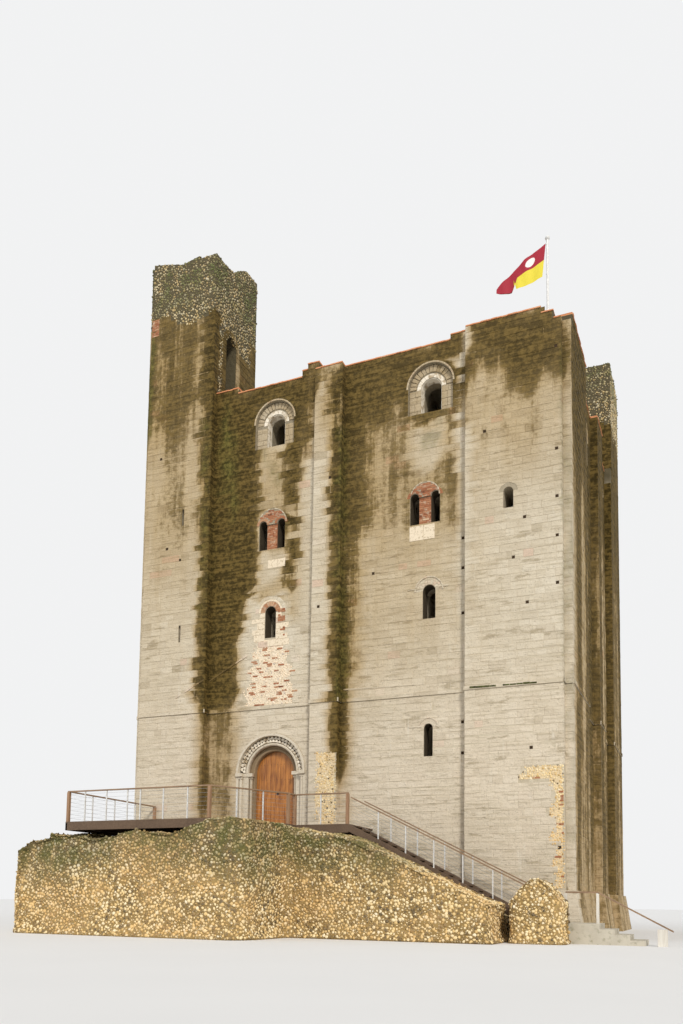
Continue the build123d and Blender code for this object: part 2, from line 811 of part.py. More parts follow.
def make_flag():
    base = Pos(pole_x, pole_y, roof_level + pole_foot_h / 2) * Cylinder(pole_foot_r, pole_foot_h)
    pole_top = roof_level + pole_h
    pole = Pos(pole_x, pole_y, roof_level + pole_h / 2) * Cylinder(pole_r, pole_h)
    ball = Pos(pole_x, pole_y, pole_top) * turned_ball(ball_r, ball_sides)
    mast = base + pole + ball
    reach = pole_r + flag_off
    flag_hoist_top = pole_top - flag_hoist_in
    for z in (flag_hoist_top - toggle_in, flag_hoist_top - flag_hoist_h + toggle_in):
        mast += Pos(pole_x - reach / 2, pole_y, z) * Rot(0, 90, 0) * Cylinder(toggle_r, reach)
    write("flagpole", mast)
    hoist_x = pole_x - reach
    outline = [
        (hoist_x, flag_hoist_top),
        (hoist_x, flag_hoist_top - flag_hoist_h),
        (hoist_x - flag_low_in, flag_hoist_top - flag_low_drop),
        (hoist_x - flag_fly, flag_hoist_top - flag_fly_drop),
        (hoist_x - flag_top_in, flag_hoist_top - flag_top_drop),
    ]
    write("flag", wall_prism(outline, pole_y - flag_t / 2, pole_y + flag_t / 2))


# Ruin of the forebuilding


def stair_drop():
    return (entrance_level - landing_level) / riser_count


def stair_foot_x():
    return stair_x + (riser_count - 1) * going


def pitch_z(x):
    """Height of the stair's nosing line at x."""
    return entrance_level - (x - stair_x) * stair_drop() / going


def crest_points(crest, x0, length):
    return [(x0 + share * length, z) for share, z in crest]


def under_crest(points, y0, y1):
    """A wall with straight sides and a broken top through the crest's points."""
    (x0, _), (x1, _) = points[0], points[-1]
    return wall_prism([(x0, 0), (x1, 0)] + points[::-1], y0, y1)


def worn_plan(x0, x1, y0, y1, radius, height):
    """An upright mass whose two front corners are worn round."""
    mass = block(x0, x1, y0, y1, 0, height)
    corners_at = mass.edges().filter_by(Axis.Z).group_by(Axis.Y)[0]
    return fillet(corners_at, radius)


def make_ruin():
    back_y = ruin_front_y + ruin_wall_t
    length = ruin_right_x - ruin_left_x
    wall = under_crest(crest_points(ruin_crest, ruin_left_x, length), ruin_front_y, back_y)
    highest = max(z for _, z in ruin_crest)
    wall &= worn_plan(ruin_left_x, ruin_right_x, ruin_front_y, back_y, ruin_corner_r, highest + 1)
    lean = [
        (ruin_front_y, 0), (ruin_front_y + ruin_lean, highest + 1), (ruin_front_y - 1, highest + 1),
        (ruin_front_y - 1, 0)]
    write("ruin_front_wall", wall - side_prism(lean, ruin_left_x - 1, ruin_right_x + 1))
    bearing = entrance_level - plank_t - beam_h
    plinth_y = -half_d - plinth_out()
    left = block(ruin_left_x, ruin_left_x + ruin_wall_t, back_y, plinth_y, 0, bearing)
    write("ruin_left_wall", left)
    return_x = ruin_right_x - return_w
    right = block(return_x, ruin_right_x, back_y, plinth_y, 0, bearing)
    clear_x = deck_inner_x + rail_w
    right += block(clear_x, ruin_right_x, back_y, stair_near_y - bank_gap, 0, return_top)
    write("ruin_return_wall", right)
    write("stair_bank", make_bank(plinth_y))
    stub = under_crest(
        crest_points(stub_crest(), stub_x, stub_w), stub_front_y, stair_near_y)
    stub &= worn_plan(
        stub_x, stub_x + stub_w, stub_front_y, stair_near_y, stub_corner_r, stub_top + 1)
    write("rubble_stub", stub)


def stub_crest():
    """Rounded top of the stump."""
    rise = stub_top - stub_shoulder
    return [(i / 6, stub_shoulder + rise * sin(radians(180 * i / 6))) for i in range(7)]


def make_bank(plinth_y):
    """The rubble bank under the stair, with its worn edge before the stringers."""
    low = stringer_h + bank_gap
    length = bank_foot_x - ruin_right_x
    face = under_crest(
        crest_points(bank_crest, ruin_right_x, length), bank_front_y, stair_near_y - bank_gap)
    back = block(ruin_right_x, bank_foot_x, stair_near_y - bank_gap, plinth_y, 0, entrance_level)
    high = pitch_z(ruin_right_x) - low
    slope = [
        (ruin_right_x, high), (bank_foot_x, pitch_z(bank_foot_x) - low),
        (bank_foot_x + 1, roof_level), (ruin_right_x - 1, roof_level)]
    back -= wall_prism(slope, stair_near_y - far_out, plinth_y + 1)
    deck_under = entrance_level - plank_t - beam_h
    back -= block(ruin_right_x - 1, bank_foot_x, stair_near_y - far_out, 0, deck_under, roof_level)
    worn = [
        (bank_front_y - 1, bank_crest[0][1] - (bank_ridge_y - bank_front_y) * bank_fall),
        (bank_ridge_y, bank_crest[0][1]), (bank_ridge_y, roof_level), (bank_front_y - 1, roof_level)]
    return face - side_prism(worn, ruin_right_x - 1, bank_foot_x + 1) + back


# Deck, stair and railings


def deck_outline():
    """The deck's plan, clear of the pilaster and turret that it butts against."""
    turret_x = -half_w + left_turret_w
    pilaster_left = front_pilaster_x - front_pilaster_w / 2
    pilaster_right = front_pilaster_x + front_pilaster_w / 2
    return [
        (deck_left_x, -half_d), (turret_x, -half_d), (turret_x, -bay_y), (pilaster_left, -bay_y),
        (pilaster_left, -half_d), (pilaster_right, -half_d), (pilaster_right, -bay_y),
        (stair_x, -bay_y), (stair_x, stair_near_y), (deck_inner_x, stair_near_y),
        (deck_inner_x, deck_inner_y), (deck_bend_x, deck_front_y), (deck_left_x, deck_front_y)]


def make_deck():
    planks = prism(deck_outline(), entrance_level - plank_t, entrance_level)
    under = entrance_level - plank_t
    beams = None
    back_beam_y = -half_d - plinth_out()
    for y in (deck_front_y + beam_w / 2, back_beam_y):
        right = deck_bend_x if y < deck_inner_y else stair_x
        beam = block(deck_left_x, right, y - beam_w / 2, y + beam_w / 2, under - beam_h, under)
        beams = beam if beams is None else beams + beam
    for i in range(joist_count):
        x = deck_left_x + beam_w / 2 + i * (deck_bend_x - deck_left_x - beam_w) / (joist_count - 1)
        beams += block(
            x - beam_w / 2, x + beam_w / 2, deck_front_y, back_beam_y, under - beam_h, under)
    write("entrance_deck", planks + beams)


def railing_run(points, posts_from=0, posts_to=0):
    """Posts and a handrail along a run of points at deck level.

    posts_from and posts_to are 1 where the run borrows its neighbour's corner post.
    """
    run = None
    last_leg = len(points) - 2
    for leg, ((x0, y0), (x1, y1)) in enumerate(zip(points, points[1:])):
        length = hypot(x1 - x0, y1 - y0)
        angle = degrees(atan2(y1 - y0, x1 - x0))
        rail = Pos((x0 + x1) / 2, (y0 + y1) / 2, entrance_level + rail_h - rail_t / 2) * Rot(0, 0, angle)
        rail = rail * Box(length + rail_w, rail_w, rail_t)
        run = rail if run is None else run + rail
        count = max(1, round(length / post_pitch))
        first = posts_from if leg == 0 else 0
        last = count - posts_to if leg == last_leg else count
        for i in range(first, last + 1):
            x = x0 + (x1 - x0) * i / count
            y = y0 + (y1 - y0) * i / count
            half = (corner_post if i in (0, count) else post) / 2
            run += block(
                x - half, x + half, y - half, y + half, entrance_level, entrance_level + rail_h - rail_t)
    return run


def make_deck_railings():
    left = deck_left_x + post_in
    front = deck_front_y + post_in
    near = stair_near_y + post_in
    write("deck_railing_end", railing_run([(left, -half_d - rail_wall_gap), (left, front + rail_w)], 0, 1))
    write("deck_railing_front", railing_run([(left, front), (deck_bend_x, front)]))
    inner_x = deck_inner_x - post_in
    inner_y = deck_inner_y + post_in / 2
    turn = atan2(inner_y - front, inner_x - deck_bend_x)
    start = (deck_bend_x + rail_joint * cos(turn), front + rail_joint * sin(turn))
    inner = [start, (inner_x, inner_y), (inner_x, near), (stair_x - post_in, near)]
    write("deck_railing_corner", railing_run(inner, 1, 0))


def stair_y():
    return stair_near_y, stair_near_y + stair_w


def make_stair():
    near, far = stair_y()
    treads = []
    for i in range(1, riser_count):
        z = entrance_level - i * stair_drop()
        x = stair_x + (i - 1) * going
        sides_of = (near + stringer_w, far - stringer_w)
        treads.append(block(x, x + going - tread_gap, *sides_of, z - tread_t, z))
    write("stair_treads", Compound(treads))
    foot = stair_foot_x()
    head = stair_x
    toe = foot - (stringer_h - pitch_z(foot) + landing_level) * going / stair_drop()
    line = [
        (head, pitch_z(head)), (foot, pitch_z(foot)), (foot, landing_level),
        (toe, landing_level), (head, pitch_z(head) - stringer_h)]
    stringers = [wall_prism(line, y, y + stringer_w) for y in (near, far - stringer_w)]
    write("stair_stringers", Compound(stringers))


def sloped_railing(x0, x1, level_at, y, height, count):
    """A handrail on posts over a pitch line."""
    z0 = level_at(x0) + height
    z1 = level_at(x1) + height
    rail = wall_prism(
        [(x0 - rail_lap, z0), (x1 + rail_lap, z1), (x1 + rail_lap, z1 - rail_t), (x0 - rail_lap, z0 - rail_t)],
        y - rail_w / 2, y + rail_w / 2)
    for i in range(count):
        a = x0 + (x1 - x0) * i / (count - 1) - post / 2
        b = a + post
        reach = height - rail_t / 2
        upright = [(a, level_at(a)), (b, level_at(b)), (b, level_at(b) + reach), (a, level_at(a) + reach)]
        rail += wall_prism(upright, y - post / 2, y + post / 2)
    return rail


def make_stair_railings():
    near, far = stair_y()
    x0 = stair_x + stair_rail_in
    x1 = stair_foot_x() - stair_rail_in
    count = round((x1 - x0) / post_pitch * stair_posts_closer) + 1
    for name, y in (("stair_railing_near", near + stringer_w / 2), ("stair_railing_far", far - stringer_w / 2)):
        write(name, sloped_railing(x0, x1, pitch_z, y, stair_rail_h, count))


def low_step_x():
    return stair_foot_x() + landing_l


def low_pitch_z(x):
    drop = landing_level / low_riser_count
    return landing_level - max(0, x - low_step_x()) * drop / low_going


def make_lower_steps():
    near, far = stair_y()
    drop = landing_level / low_riser_count
    steps = block(stair_foot_x() - landing_lap, low_step_x(), near, far, 0, landing_level)
    for i in range(1, low_riser_count):
        x = low_step_x() + (i - 1) * low_going
        steps += block(x, x + low_going, near, far, 0, landing_level - i * drop)
    write("lower_steps", steps)
    y = near + post
    x1 = low_step_x() - post
    x0 = x1 - low_level_l
    x2 = low_step_x() + low_post_in
    z1 = landing_level + stair_rail_h
    z2 = z1 - (x2 + low_rail_end - x1) * low_rail_fall
    end = x2 + low_rail_end
    railing = sloped_railing(x0, x1, lambda x: landing_level, y, stair_rail_h, 2)
    railing += wall_prism(
        [(x1, z1), (end, z2), (end, z2 - rail_t), (x1, z1 - rail_t)], y - rail_w / 2, y + rail_w / 2)
    post_top = z1 - (x2 + low_post_w / 2 - x1) * low_rail_fall - rail_t / 2
    railing += block(
        x2 - low_post_w / 2, x2 + low_post_w / 2, y - rail_w / 2, y + rail_w / 2, 0, post_top)
    write("lower_railing", railing)


def make_door():
    write("door_leaf_left", leaf(-1))
    write("door_leaf_right", leaf(1))
    write("door_pintles", pintles())


os.makedirs("parts", exist_ok=True)
make_walls()
make_floors()
make_parapets()
make_tall_turrets()
make_flag()
make_ruin()
make_deck()
make_deck_railings()
make_stair()
make_stair_railings()
make_lower_steps()
make_door()
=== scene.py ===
import math
import random

import bpy
import numpy as np
from mathutils import Matrix, Vector, noise


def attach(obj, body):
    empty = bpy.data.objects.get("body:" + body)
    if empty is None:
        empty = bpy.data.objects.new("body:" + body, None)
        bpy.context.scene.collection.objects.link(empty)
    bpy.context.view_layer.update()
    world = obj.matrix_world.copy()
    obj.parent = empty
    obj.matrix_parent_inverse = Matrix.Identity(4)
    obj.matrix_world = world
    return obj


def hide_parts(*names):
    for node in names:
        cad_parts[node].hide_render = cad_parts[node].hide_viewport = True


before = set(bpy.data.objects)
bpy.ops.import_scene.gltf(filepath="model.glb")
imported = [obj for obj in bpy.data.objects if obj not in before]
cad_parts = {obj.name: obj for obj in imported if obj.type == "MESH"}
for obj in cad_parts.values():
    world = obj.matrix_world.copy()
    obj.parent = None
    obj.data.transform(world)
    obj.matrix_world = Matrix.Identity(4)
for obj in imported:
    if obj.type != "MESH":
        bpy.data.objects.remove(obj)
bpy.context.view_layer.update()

# The keep's plan and levels, in metres, as in the part's source
HALF_W = 8.85
HALF_D = 8.1
PROJ = 0.3                 # turrets and pilasters before the bays
LEFT_TURRET = 3.4
RIGHT_TURRET = 3.65
FRONT_TURRET = 4.1
BACK_TURRET = 3.7
NOOK = 0.28
FRONT_PILASTER = (-0.78, 0.35)
SIDE_PILASTER = (-0.6, 1.1)
PLINTH = 1.63
PLINTH_LEDGE = 0.07
PLINTH_BATTER = 0.23
DECK = 3.8
STRING = 8.56
STRING_H = 0.14
STRING_OUT = 0.045
WALK = 21.2
DOOR_X = -2.57
LEFT_BAY = -2.7
RIGHT_BAY = 3.78
PAIRS_AT = (-2.72, 3.6)    # the front's paired lights stand a little off their bays
NEAR_BAY = -2.3
FAR_BAY = 2.9
TALL = 3.4                 # outside of the tall turrets
DOOR_SPRING = 6.1
DOOR_R = 0.85
SURROUND = 1.5
BAY_TOP = 21.77            # parapets
TURRET_TOP = 21.93
PARAPET_T = 0.75
CORNER_STEPS = ((7.9, 21.71), (8.33, 21.41))    # the front right corner: from x, top

# Masonry
COURSE = 0.278
STONE = (0.27, 0.62)       # shortest and longest face
JOINT = 0.006
MORTAR_OUT = 0.003
MORTAR_LENGTH = 0.3
PROUD = 0.011              # stone faces before the mortar
SUNK = 0.012               # backs of the stones behind it
CHAMFER = 0.006            # worn edge of a dressed stone
SLIVER = 0.03              # nothing narrower is laid
GRAZE = 0.02               # overlap at which a course meets an opening
LEVELS = (PLINTH, DECK, 6.36, STRING, STRING + STRING_H, 11.385, 14.96, 19.19, WALK)


# Shader building: sockets that take part in expressions

DULL = 0.8                 # roughness over which a finish hardly shines
DULL_SHINE = 0.2
PLAIN_SHINE = 0.5


class Socket:
    """A shader output that adds Math nodes when it is used in arithmetic."""

    def __init__(self, nodes, socket):
        self.nodes = nodes
        self.socket = socket

    def maths(self, operation, *values):
        return self.nodes.out("Math", 0, dict(enumerate(values)), operation=operation)

    def __add__(self, other):
        return self.maths("ADD", self, other)

    def __radd__(self, other):
        return self.maths("ADD", other, self)

    def __sub__(self, other):
        return self.maths("SUBTRACT", self, other)

    def __rsub__(self, other):
        return self.maths("SUBTRACT", other, self)

    def __mul__(self, other):
        return self.maths("MULTIPLY", self, other)

    def __rmul__(self, other):
        return self.maths("MULTIPLY", other, self)

    def clamped(self):
        return self.maths("MAXIMUM", self.maths("MINIMUM", self, 1.0), 0.0)

    def step(self, low, high):
        """0 below low, 1 above high, smooth between."""
        return self.nodes.out(
            "MapRange", 0, {0: self, 1: low, 2: high, 3: 0.0, 4: 1.0}, interpolation_type="SMOOTHSTEP")


class Nodes:
    """A node tree while it is filled."""

    def __init__(self, tree):
        self.tree = tree
        tree.nodes.clear()

    def add(self, kind, sockets=None, stops=None, **settings):
        """Any node: its settings first, a ramp's stops, then the values or links of its sockets."""
        node = self.tree.nodes.new("ShaderNode" + kind)
        for name, value in settings.items():
            setattr(node, name, value)
        if stops:
            points = node.color_ramp.elements
            while len(points) < len(stops):
                points.new(1.0)
            for point, (place, colour) in zip(points, stops):
                point.position = place
                point.color = (*colour, 1.0)
        for key, value in (sockets or {}).items():
            if isinstance(value, Socket):
                self.tree.links.new(value.socket, node.inputs[key])
            else:
                node.inputs[key].default_value = value
        return node

    def out(self, kind, index=0, sockets=None, **settings):
        """One output of a new node."""
        return Socket(self, self.add(kind, sockets, **settings).outputs[index])


class Finish(Nodes):
    """A material while it is made."""

    def __init__(self, name, roughness=0.85):
        self.material = bpy.data.materials.new(name)
        self.material.use_nodes = True
        super().__init__(self.material.node_tree)
        shine = DULL_SHINE if roughness > DULL else PLAIN_SHINE
        self.shader = self.add("BsdfPrincipled", {"Roughness": roughness, "Specular IOR Level": shine})
        self.add("OutputMaterial", {0: Socket(self, self.shader.outputs[0])})
        self.place = self.out("TexCoord", 3)

    def mix(self, factor, a, b, blend="MIX"):
        """Two colours mixed."""
        a, b = (v if isinstance(v, Socket) else (*v, 1.0) for v in (a, b))
        return self.out("Mix", 2, {0: factor, 6: a, 7: b}, data_type="RGBA", blend_type=blend)

    def ramp(self, factor, *stops):
        return self.out("ValToRGB", 0, {0: factor}, stops=stops)

    def stretched(self, x, y, z):
        return self.out("VectorMath", 0, {0: self.place, 1: (x, y, z)}, operation="MULTIPLY")

    def noise(self, scale, detail=4.0, vector=None, roughness=0.55):
        return self.out("TexNoise", 0, {
            "Vector": vector or self.place, "Scale": scale, "Detail": detail, "Roughness": roughness})

    def cells(self, scale, vector=None, feature="F1", output=0):
        return self.out(
            "TexVoronoi", output, {"Vector": vector or self.place, "Scale": scale}, feature=feature)

    def attribute(self, name):
        """Red, green, blue and alpha of a colour attribute."""
        node = self.add("Attribute", attribute_name=name)
        parts = self.add("SeparateColor", {0: Socket(self, node.outputs[0])})
        return [Socket(self, parts.outputs[i]) for i in range(3)] + [Socket(self, node.outputs[3])]

    def height(self):
        """Distance above the ground."""
        return self.out("SeparateXYZ", 2, {0: self.place})

    def colour(self, value):
        self.feed("Base Color", value)

    def feed(self, name, value):
        if isinstance(value, Socket):
            self.tree.links.new(value.socket, self.shader.inputs[name])
        else:
            self.shader.inputs[name].default_value = value

    def bump(self, height, distance, strength=1.0, over=None):
        sockets = {"Height": height, "Distance": distance, "Strength": strength}
        if over:
            sockets["Normal"] = over
        normal = self.out("Bump", 0, sockets)
        self.feed("Normal", normal)
        return normal


# Finishes


def weathered(finish, base, stain, moss):
    """A yellow-brown wash, then brown run-off and green growth, over a stone colour."""
    streaks = finish.noise(1.0, 5.0, finish.stretched(2.4, 2.4, 0.16), 0.62)
    blotches = finish.noise(0.8, 6.0, roughness=0.62)
    patchy = (streaks - 0.5) * 1.5 + (blotches - 0.5) * 0.9
    wash = (stain * 1.7 + patchy * (stain * 0.5 + 0.12)).clamped()
    washed = finish.mix(wash, base, (0.64, 0.51, 0.3), "MULTIPLY")
    fine = finish.noise(6.0, 6.0, roughness=0.65)
    ragged = patchy * (stain * 0.85 + 0.14) + (fine - 0.5) * 0.6
    grime = (stain * 1.1 + ragged).step(0.46, 0.68) * (stain * 0.5 + 0.5)
    beds = finish.noise(1.0, 5.0, finish.stretched(0.9, 0.9, 9.0), 0.62)
    uneven = fine * 0.55 + beds * 0.45
    stained = finish.mix(uneven.step(0.42, 0.6), (0.038, 0.025, 0.003), (0.155, 0.102, 0.026))
    over = finish.mix(grime.clamped(), washed, stained)
    clumps = finish.noise(1.5, 6.0, roughness=0.65) - 0.56
    growth = (moss * 1.2 + clumps * 1.5 * (moss + 0.08)).step(0.2, 0.8)
    green = finish.mix(fine.step(0.35, 0.72), (0.04, 0.044, 0.008), (0.2, 0.18, 0.042))
    return finish.mix((growth * 0.82).clamped(), over, green)


def ashlar_finish():
    """Pale dressed stone, each block of its own tone, with dark bands of worn beds and their painted
    shadow, scoured, limed and weathered.
    """
    finish = Finish("weathered_ashlar", 0.88)
    stain, moss, tone, warm = finish.attribute("weather")
    pale = finish.ramp(
        tone, (0.0, (0.54, 0.47, 0.35)), (0.2, (0.61, 0.535, 0.41)), (0.5, (0.67, 0.595, 0.46)),
        (0.8, (0.71, 0.64, 0.51)), (1.0, (0.68, 0.53, 0.41)))
    pink = finish.mix(warm * 0.55, pale, (0.74, 0.63, 0.49))
    beds = finish.noise(1.0, 6.0, finish.stretched(1.0, 1.0, 10.0), 0.62)
    # dark horizontal bands: wear along the beds and painted shadow in them
    bed_wear_and_shadow = finish.mix(beds.step(0.5, 0.68) * 0.6, pink, (0.42, 0.35, 0.235))
    patches = finish.noise(0.55, 5.0)
    clouded = finish.mix(patches.step(0.42, 0.68) * 0.3, bed_wear_and_shadow, (0.52, 0.45, 0.33))
    worn = finish.noise(1.0, 7.0, finish.stretched(0.8, 0.8, 3.2), 0.68)
    scoured = finish.mix(worn.step(0.58, 0.65) * 0.62, clouded, (0.34, 0.275, 0.175))
    specks = finish.noise(17.0, 6.0, roughness=0.7)
    mottled = finish.mix(specks.step(0.54, 0.66) * 0.5, scoured, (0.3, 0.245, 0.16))
    lime = finish.noise(1.0, 5.0, finish.stretched(4.0, 4.0, 0.5), 0.6)
    limed = finish.mix(lime.step(0.62, 0.74) * 0.35, mottled, (0.8, 0.76, 0.66))
    finish.colour(weathered(finish, limed, stain, moss))
    tooling = finish.noise(30.0, 5.0, roughness=0.65)
    pits = finish.cells(9.0)
    finish.bump(
        tooling * 0.7 + finish.noise(7.0, 5.0) * 1.2 + pits.step(0.0, 0.22) * 0.6 + beds * 1.3, 0.03, 0.85)
    return finish.material


def core_finish():
    """Mortar between the stones, and the plain rubble faces inside."""
    finish = Finish("lime_mortar", 0.95)
    base = finish.mix(finish.noise(2.0, 5.0), (0.46, 0.39, 0.275), (0.62, 0.54, 0.41))
    lumps = finish.noise(7.0, 5.0, roughness=0.65)
    rough = finish.mix(lumps.step(0.5, 0.66) * 0.7, base, (0.66, 0.59, 0.46))
    high = finish.mix(finish.height().step(9.0, 20.0) * 0.6, rough, (0.13, 0.1, 0.05))
    finish.colour(finish.mix(finish.height().step(20.9, 21.6) * 0.8, high, (0.06, 0.048, 0.02)))
    finish.bump(lumps * 1.2 + finish.noise(24.0, 4.0) * 0.4, 0.04, 0.9)
    return finish.material


def mortar_finish():
    """Mortar in the joints between the facing stones, weathered with them."""
    finish = Finish("bed_mortar", 0.95)
    stain, moss, _, _ = finish.attribute("weather")
    gritty = finish.noise(12.0, 5.0, roughness=0.65)
    base = finish.mix(finish.noise(2.0, 5.0), (0.5, 0.43, 0.31), (0.66, 0.585, 0.455))
    rough = finish.mix(gritty.step(0.5, 0.66) * 0.5, base, (0.4, 0.33, 0.22))
    finish.colour(weathered(finish, rough, stain * 0.9, moss * 0.9))
    finish.bump(gritty, 0.02, 0.8)
    return finish.material


def putlog_shade_finish():
    """Painted shade: a near-black plate standing for the shade inside a putlog hole."""
    finish = Finish("deep_shade", 1.0)
    finish.colour(finish.mix(finish.noise(9.0, 3.0), (0.03, 0.018, 0.01), (0.07, 0.045, 0.026)))
    return finish.material


def shade_finish():
    """Painted shade: near-black brown standing for the shade on the window jambs far inside the wall."""
    finish = Finish("shaded_stone", 0.95)
    finish.colour(finish.mix(finish.noise(6.0, 5.0), (0.035, 0.026, 0.015), (0.09, 0.068, 0.042)))
    finish.bump(finish.noise(12.0, 5.0), 0.02, 0.8)
    return finish.material


def ledge_finish():
    """Weathered ledge grown over with moss."""
    finish = Finish("mossy_ledge", 0.95)
    clumps = finish.noise(9.0, 5.0, roughness=0.65)
    finish.colour(finish.mix(clumps.step(0.4, 0.6), (0.035, 0.034, 0.012), (0.11, 0.115, 0.04)))
    finish.bump(clumps, 0.02, 0.8)
    return finish.material


def plaster_finish():
    """Limewash left in the sheltered window recesses."""
    finish = Finish("old_limewash", 0.9)
    worn = finish.noise(5.0, 6.0, roughness=0.65)
    base = finish.mix(worn.step(0.44, 0.62), (0.84, 0.76, 0.62), (0.46, 0.36, 0.23))
    finish.colour(finish.mix(finish.noise(2.0, 4.0).step(0.52, 0.66) * 0.5, base, (0.86, 0.8, 0.69)))
    finish.bump(worn + finish.noise(20.0, 4.0) * 0.5, 0.02, 0.7)
    return finish.material


def cream_finish():
    """Soft cream stone and mortar of later repairs."""
    finish = Finish("cream_repair", 0.92)
    base = finish.mix(finish.noise(3.0, 6.0, roughness=0.65), (0.64, 0.48, 0.27), (0.86, 0.71, 0.48))
    pitted = finish.noise(11.0, 6.0, roughness=0.7)
    paler = finish.mix(finish.height().step(7.0, 9.0) * 0.7, base, (0.83, 0.73, 0.58))
    finish.colour(finish.mix(pitted.step(0.52, 0.62) * 0.7, paler, (0.4, 0.3, 0.17)))
    finish.bump(pitted, 0.03, 0.8)
    return finish.material


def overgrown(finish, base, moss, green):
    """Green clumps over the rough masonry, where there is moss."""
    clumps = finish.noise(1.9, 5.0, roughness=0.65).step(0.38, 0.62)
    return finish.mix((moss * clumps * 1.1).clamped(), base, green)


def flint_finish():
    """Flints from black to cream, golden low down and dirty where the wall is stained."""
    finish = Finish("flint", 0.6)
    stain, moss, tone, warm = finish.attribute("weather")
    stone = finish.ramp(
        tone, (0.0, (0.03, 0.025, 0.018)), (0.1, (0.16, 0.11, 0.045)), (0.2, (0.54, 0.35, 0.13)),
        (0.45, (0.84, 0.61, 0.27)), (0.7, (0.94, 0.77, 0.45)), (0.9, (0.93, 0.8, 0.53)),
        (1.0, (0.95, 0.87, 0.68)))
    patchy = finish.mix(finish.noise(26.0, 4.0).step(0.42, 0.68) * 0.35, stone, (0.44, 0.33, 0.18))
    drift = finish.noise(0.55, 5.0)
    golden = finish.mix((drift.step(0.42, 0.62) * 0.7 * warm).clamped(), patchy, (0.72, 0.44, 0.16))
    rosy = finish.height().step(7.5, 8.8) * (1.0 - finish.height().step(11.5, 13.0))
    pinkish = finish.mix(rosy * 0.55, golden, (0.88, 0.74, 0.64))
    soot = stain * (finish.noise(1.3, 5.0).step(0.3, 0.7) * 0.4 + 0.3)
    dirty = finish.mix(soot.clamped(), pinkish, (0.12, 0.09, 0.036))
    finish.colour(overgrown(finish, dirty, moss, (0.12, 0.13, 0.028)))
    finish.bump(finish.noise(60.0, 3.0), 0.006, 0.5)
    return finish.material


def rubble_finish():
    """Buff mortar thick with small stones, under the larger flints."""
    finish = Finish("rubble_mortar", 0.95)
    stain, moss, _, _ = finish.attribute("weather")
    pebbles = finish.cells(17.0)
    grey = finish.out("RGBToBW", 0, {0: finish.cells(17.0, output=1)})
    stone = finish.ramp(
        grey, (0.0, (0.08, 0.06, 0.035)), (0.25, (0.46, 0.32, 0.15)), (0.65, (0.7, 0.53, 0.29)),
        (1.0, (0.85, 0.73, 0.52)))
    mortar = finish.mix(finish.noise(1.1, 5.0), (0.13, 0.084, 0.028), (0.52, 0.35, 0.14))
    base = finish.mix(pebbles.step(0.3, 0.5), stone, mortar)
    dirty = finish.mix((stain * 0.75).clamped(), base, (0.1, 0.082, 0.042))
    finish.colour(overgrown(finish, dirty, moss, (0.095, 0.11, 0.026)))
    finish.bump(pebbles.step(0.1, 0.5) * -1.0 + finish.noise(30.0, 4.0) * 0.4, 0.04, 0.9)
    return finish.material


def brick_finish():
    """Thin red bricks, limed and sooty in patches."""
    finish = Finish("old_red_brick", 0.9)
    _, _, tone, _ = finish.attribute("weather")
    clay = finish.ramp(
        tone, (0.0, (0.19, 0.07, 0.035)), (0.4, (0.37, 0.145, 0.07)), (0.75, (0.46, 0.235, 0.125)),
        (1.0, (0.6, 0.4, 0.25)))
    limed = finish.mix(finish.noise(7.0, 5.0).step(0.52, 0.68) * 0.5, clay, (0.68, 0.58, 0.43))
    finish.colour(finish.mix(finish.noise(14.0, 4.0).step(0.5, 0.8) * 0.5, limed, (0.26, 0.19, 0.12)))
    finish.bump(finish.noise(50.0, 3.0), 0.006, 0.6)
    return finish.material


def tile_finish():
    """Orange-red tiles of the coping."""
    finish = Finish("clay_tile", 0.8)
    _, _, tone, _ = finish.attribute("weather")
    clay = finish.ramp(
        tone, (0.0, (0.42, 0.15, 0.06)), (0.5, (0.68, 0.28, 0.115)), (1.0, (0.78, 0.42, 0.22)))
    finish.colour(finish.mix(finish.noise(4.0, 5.0).step(0.55, 0.75) * 0.5, clay, (0.24, 0.19, 0.1)))
    finish.bump(finish.noise(40.0, 3.0), 0.005, 0.5)
    return finish.material


def portal_finish():
    """Carved stone of the doorway, worn and patchy, with painted shade darkening it further back into the
    doorway.
    """
    finish = Finish("portal_stone", 0.85)
    base = finish.mix(finish.noise(2.4, 5.0), (0.58, 0.5, 0.38), (0.74, 0.67, 0.54))
    worn = finish.mix(finish.noise(9.0, 6.0).step(0.5, 0.72) * 0.5, base, (0.36, 0.29, 0.19))
    back = finish.out("SeparateXYZ", 1, {0: finish.place})
    # painted shade: darker the further back into the doorway
    deep = back.step(-HALF_D + 0.46, -HALF_D + 0.6) * 0.85
    finish.colour(finish.mix(deep, worn, (0.25, 0.165, 0.08)))
    finish.bump(finish.noise(28.0, 4.0) + finish.noise(6.0, 3.0), 0.02, 0.6)
    return finish.material


def wood_finish(name, dark, light, along, roughness=0.6, ring=9.0):
    """Timber with its grain along one axis."""
    finish = Finish(name, roughness)
    stretch = [3.0, 3.0, 3.0]
    stretch["xyz".index(along)] = 0.22
    grain = finish.noise(ring, 6.0, finish.stretched(*stretch), 0.65)
    streak = finish.noise(ring * 5, 3.0, finish.stretched(*stretch), 0.6)
    board = finish.noise(1.1, 2.0)
    tint = (grain.step(0.25, 0.78) * 0.75 + board.step(0.3, 0.7) * 0.25).clamped()
    finish.colour(finish.mix(streak.step(0.5, 0.75) * 0.35, finish.mix(tint, dark, light), dark))
    finish.bump(grain * 0.5 + streak * 0.5, 0.006, 0.5)
    return finish.material


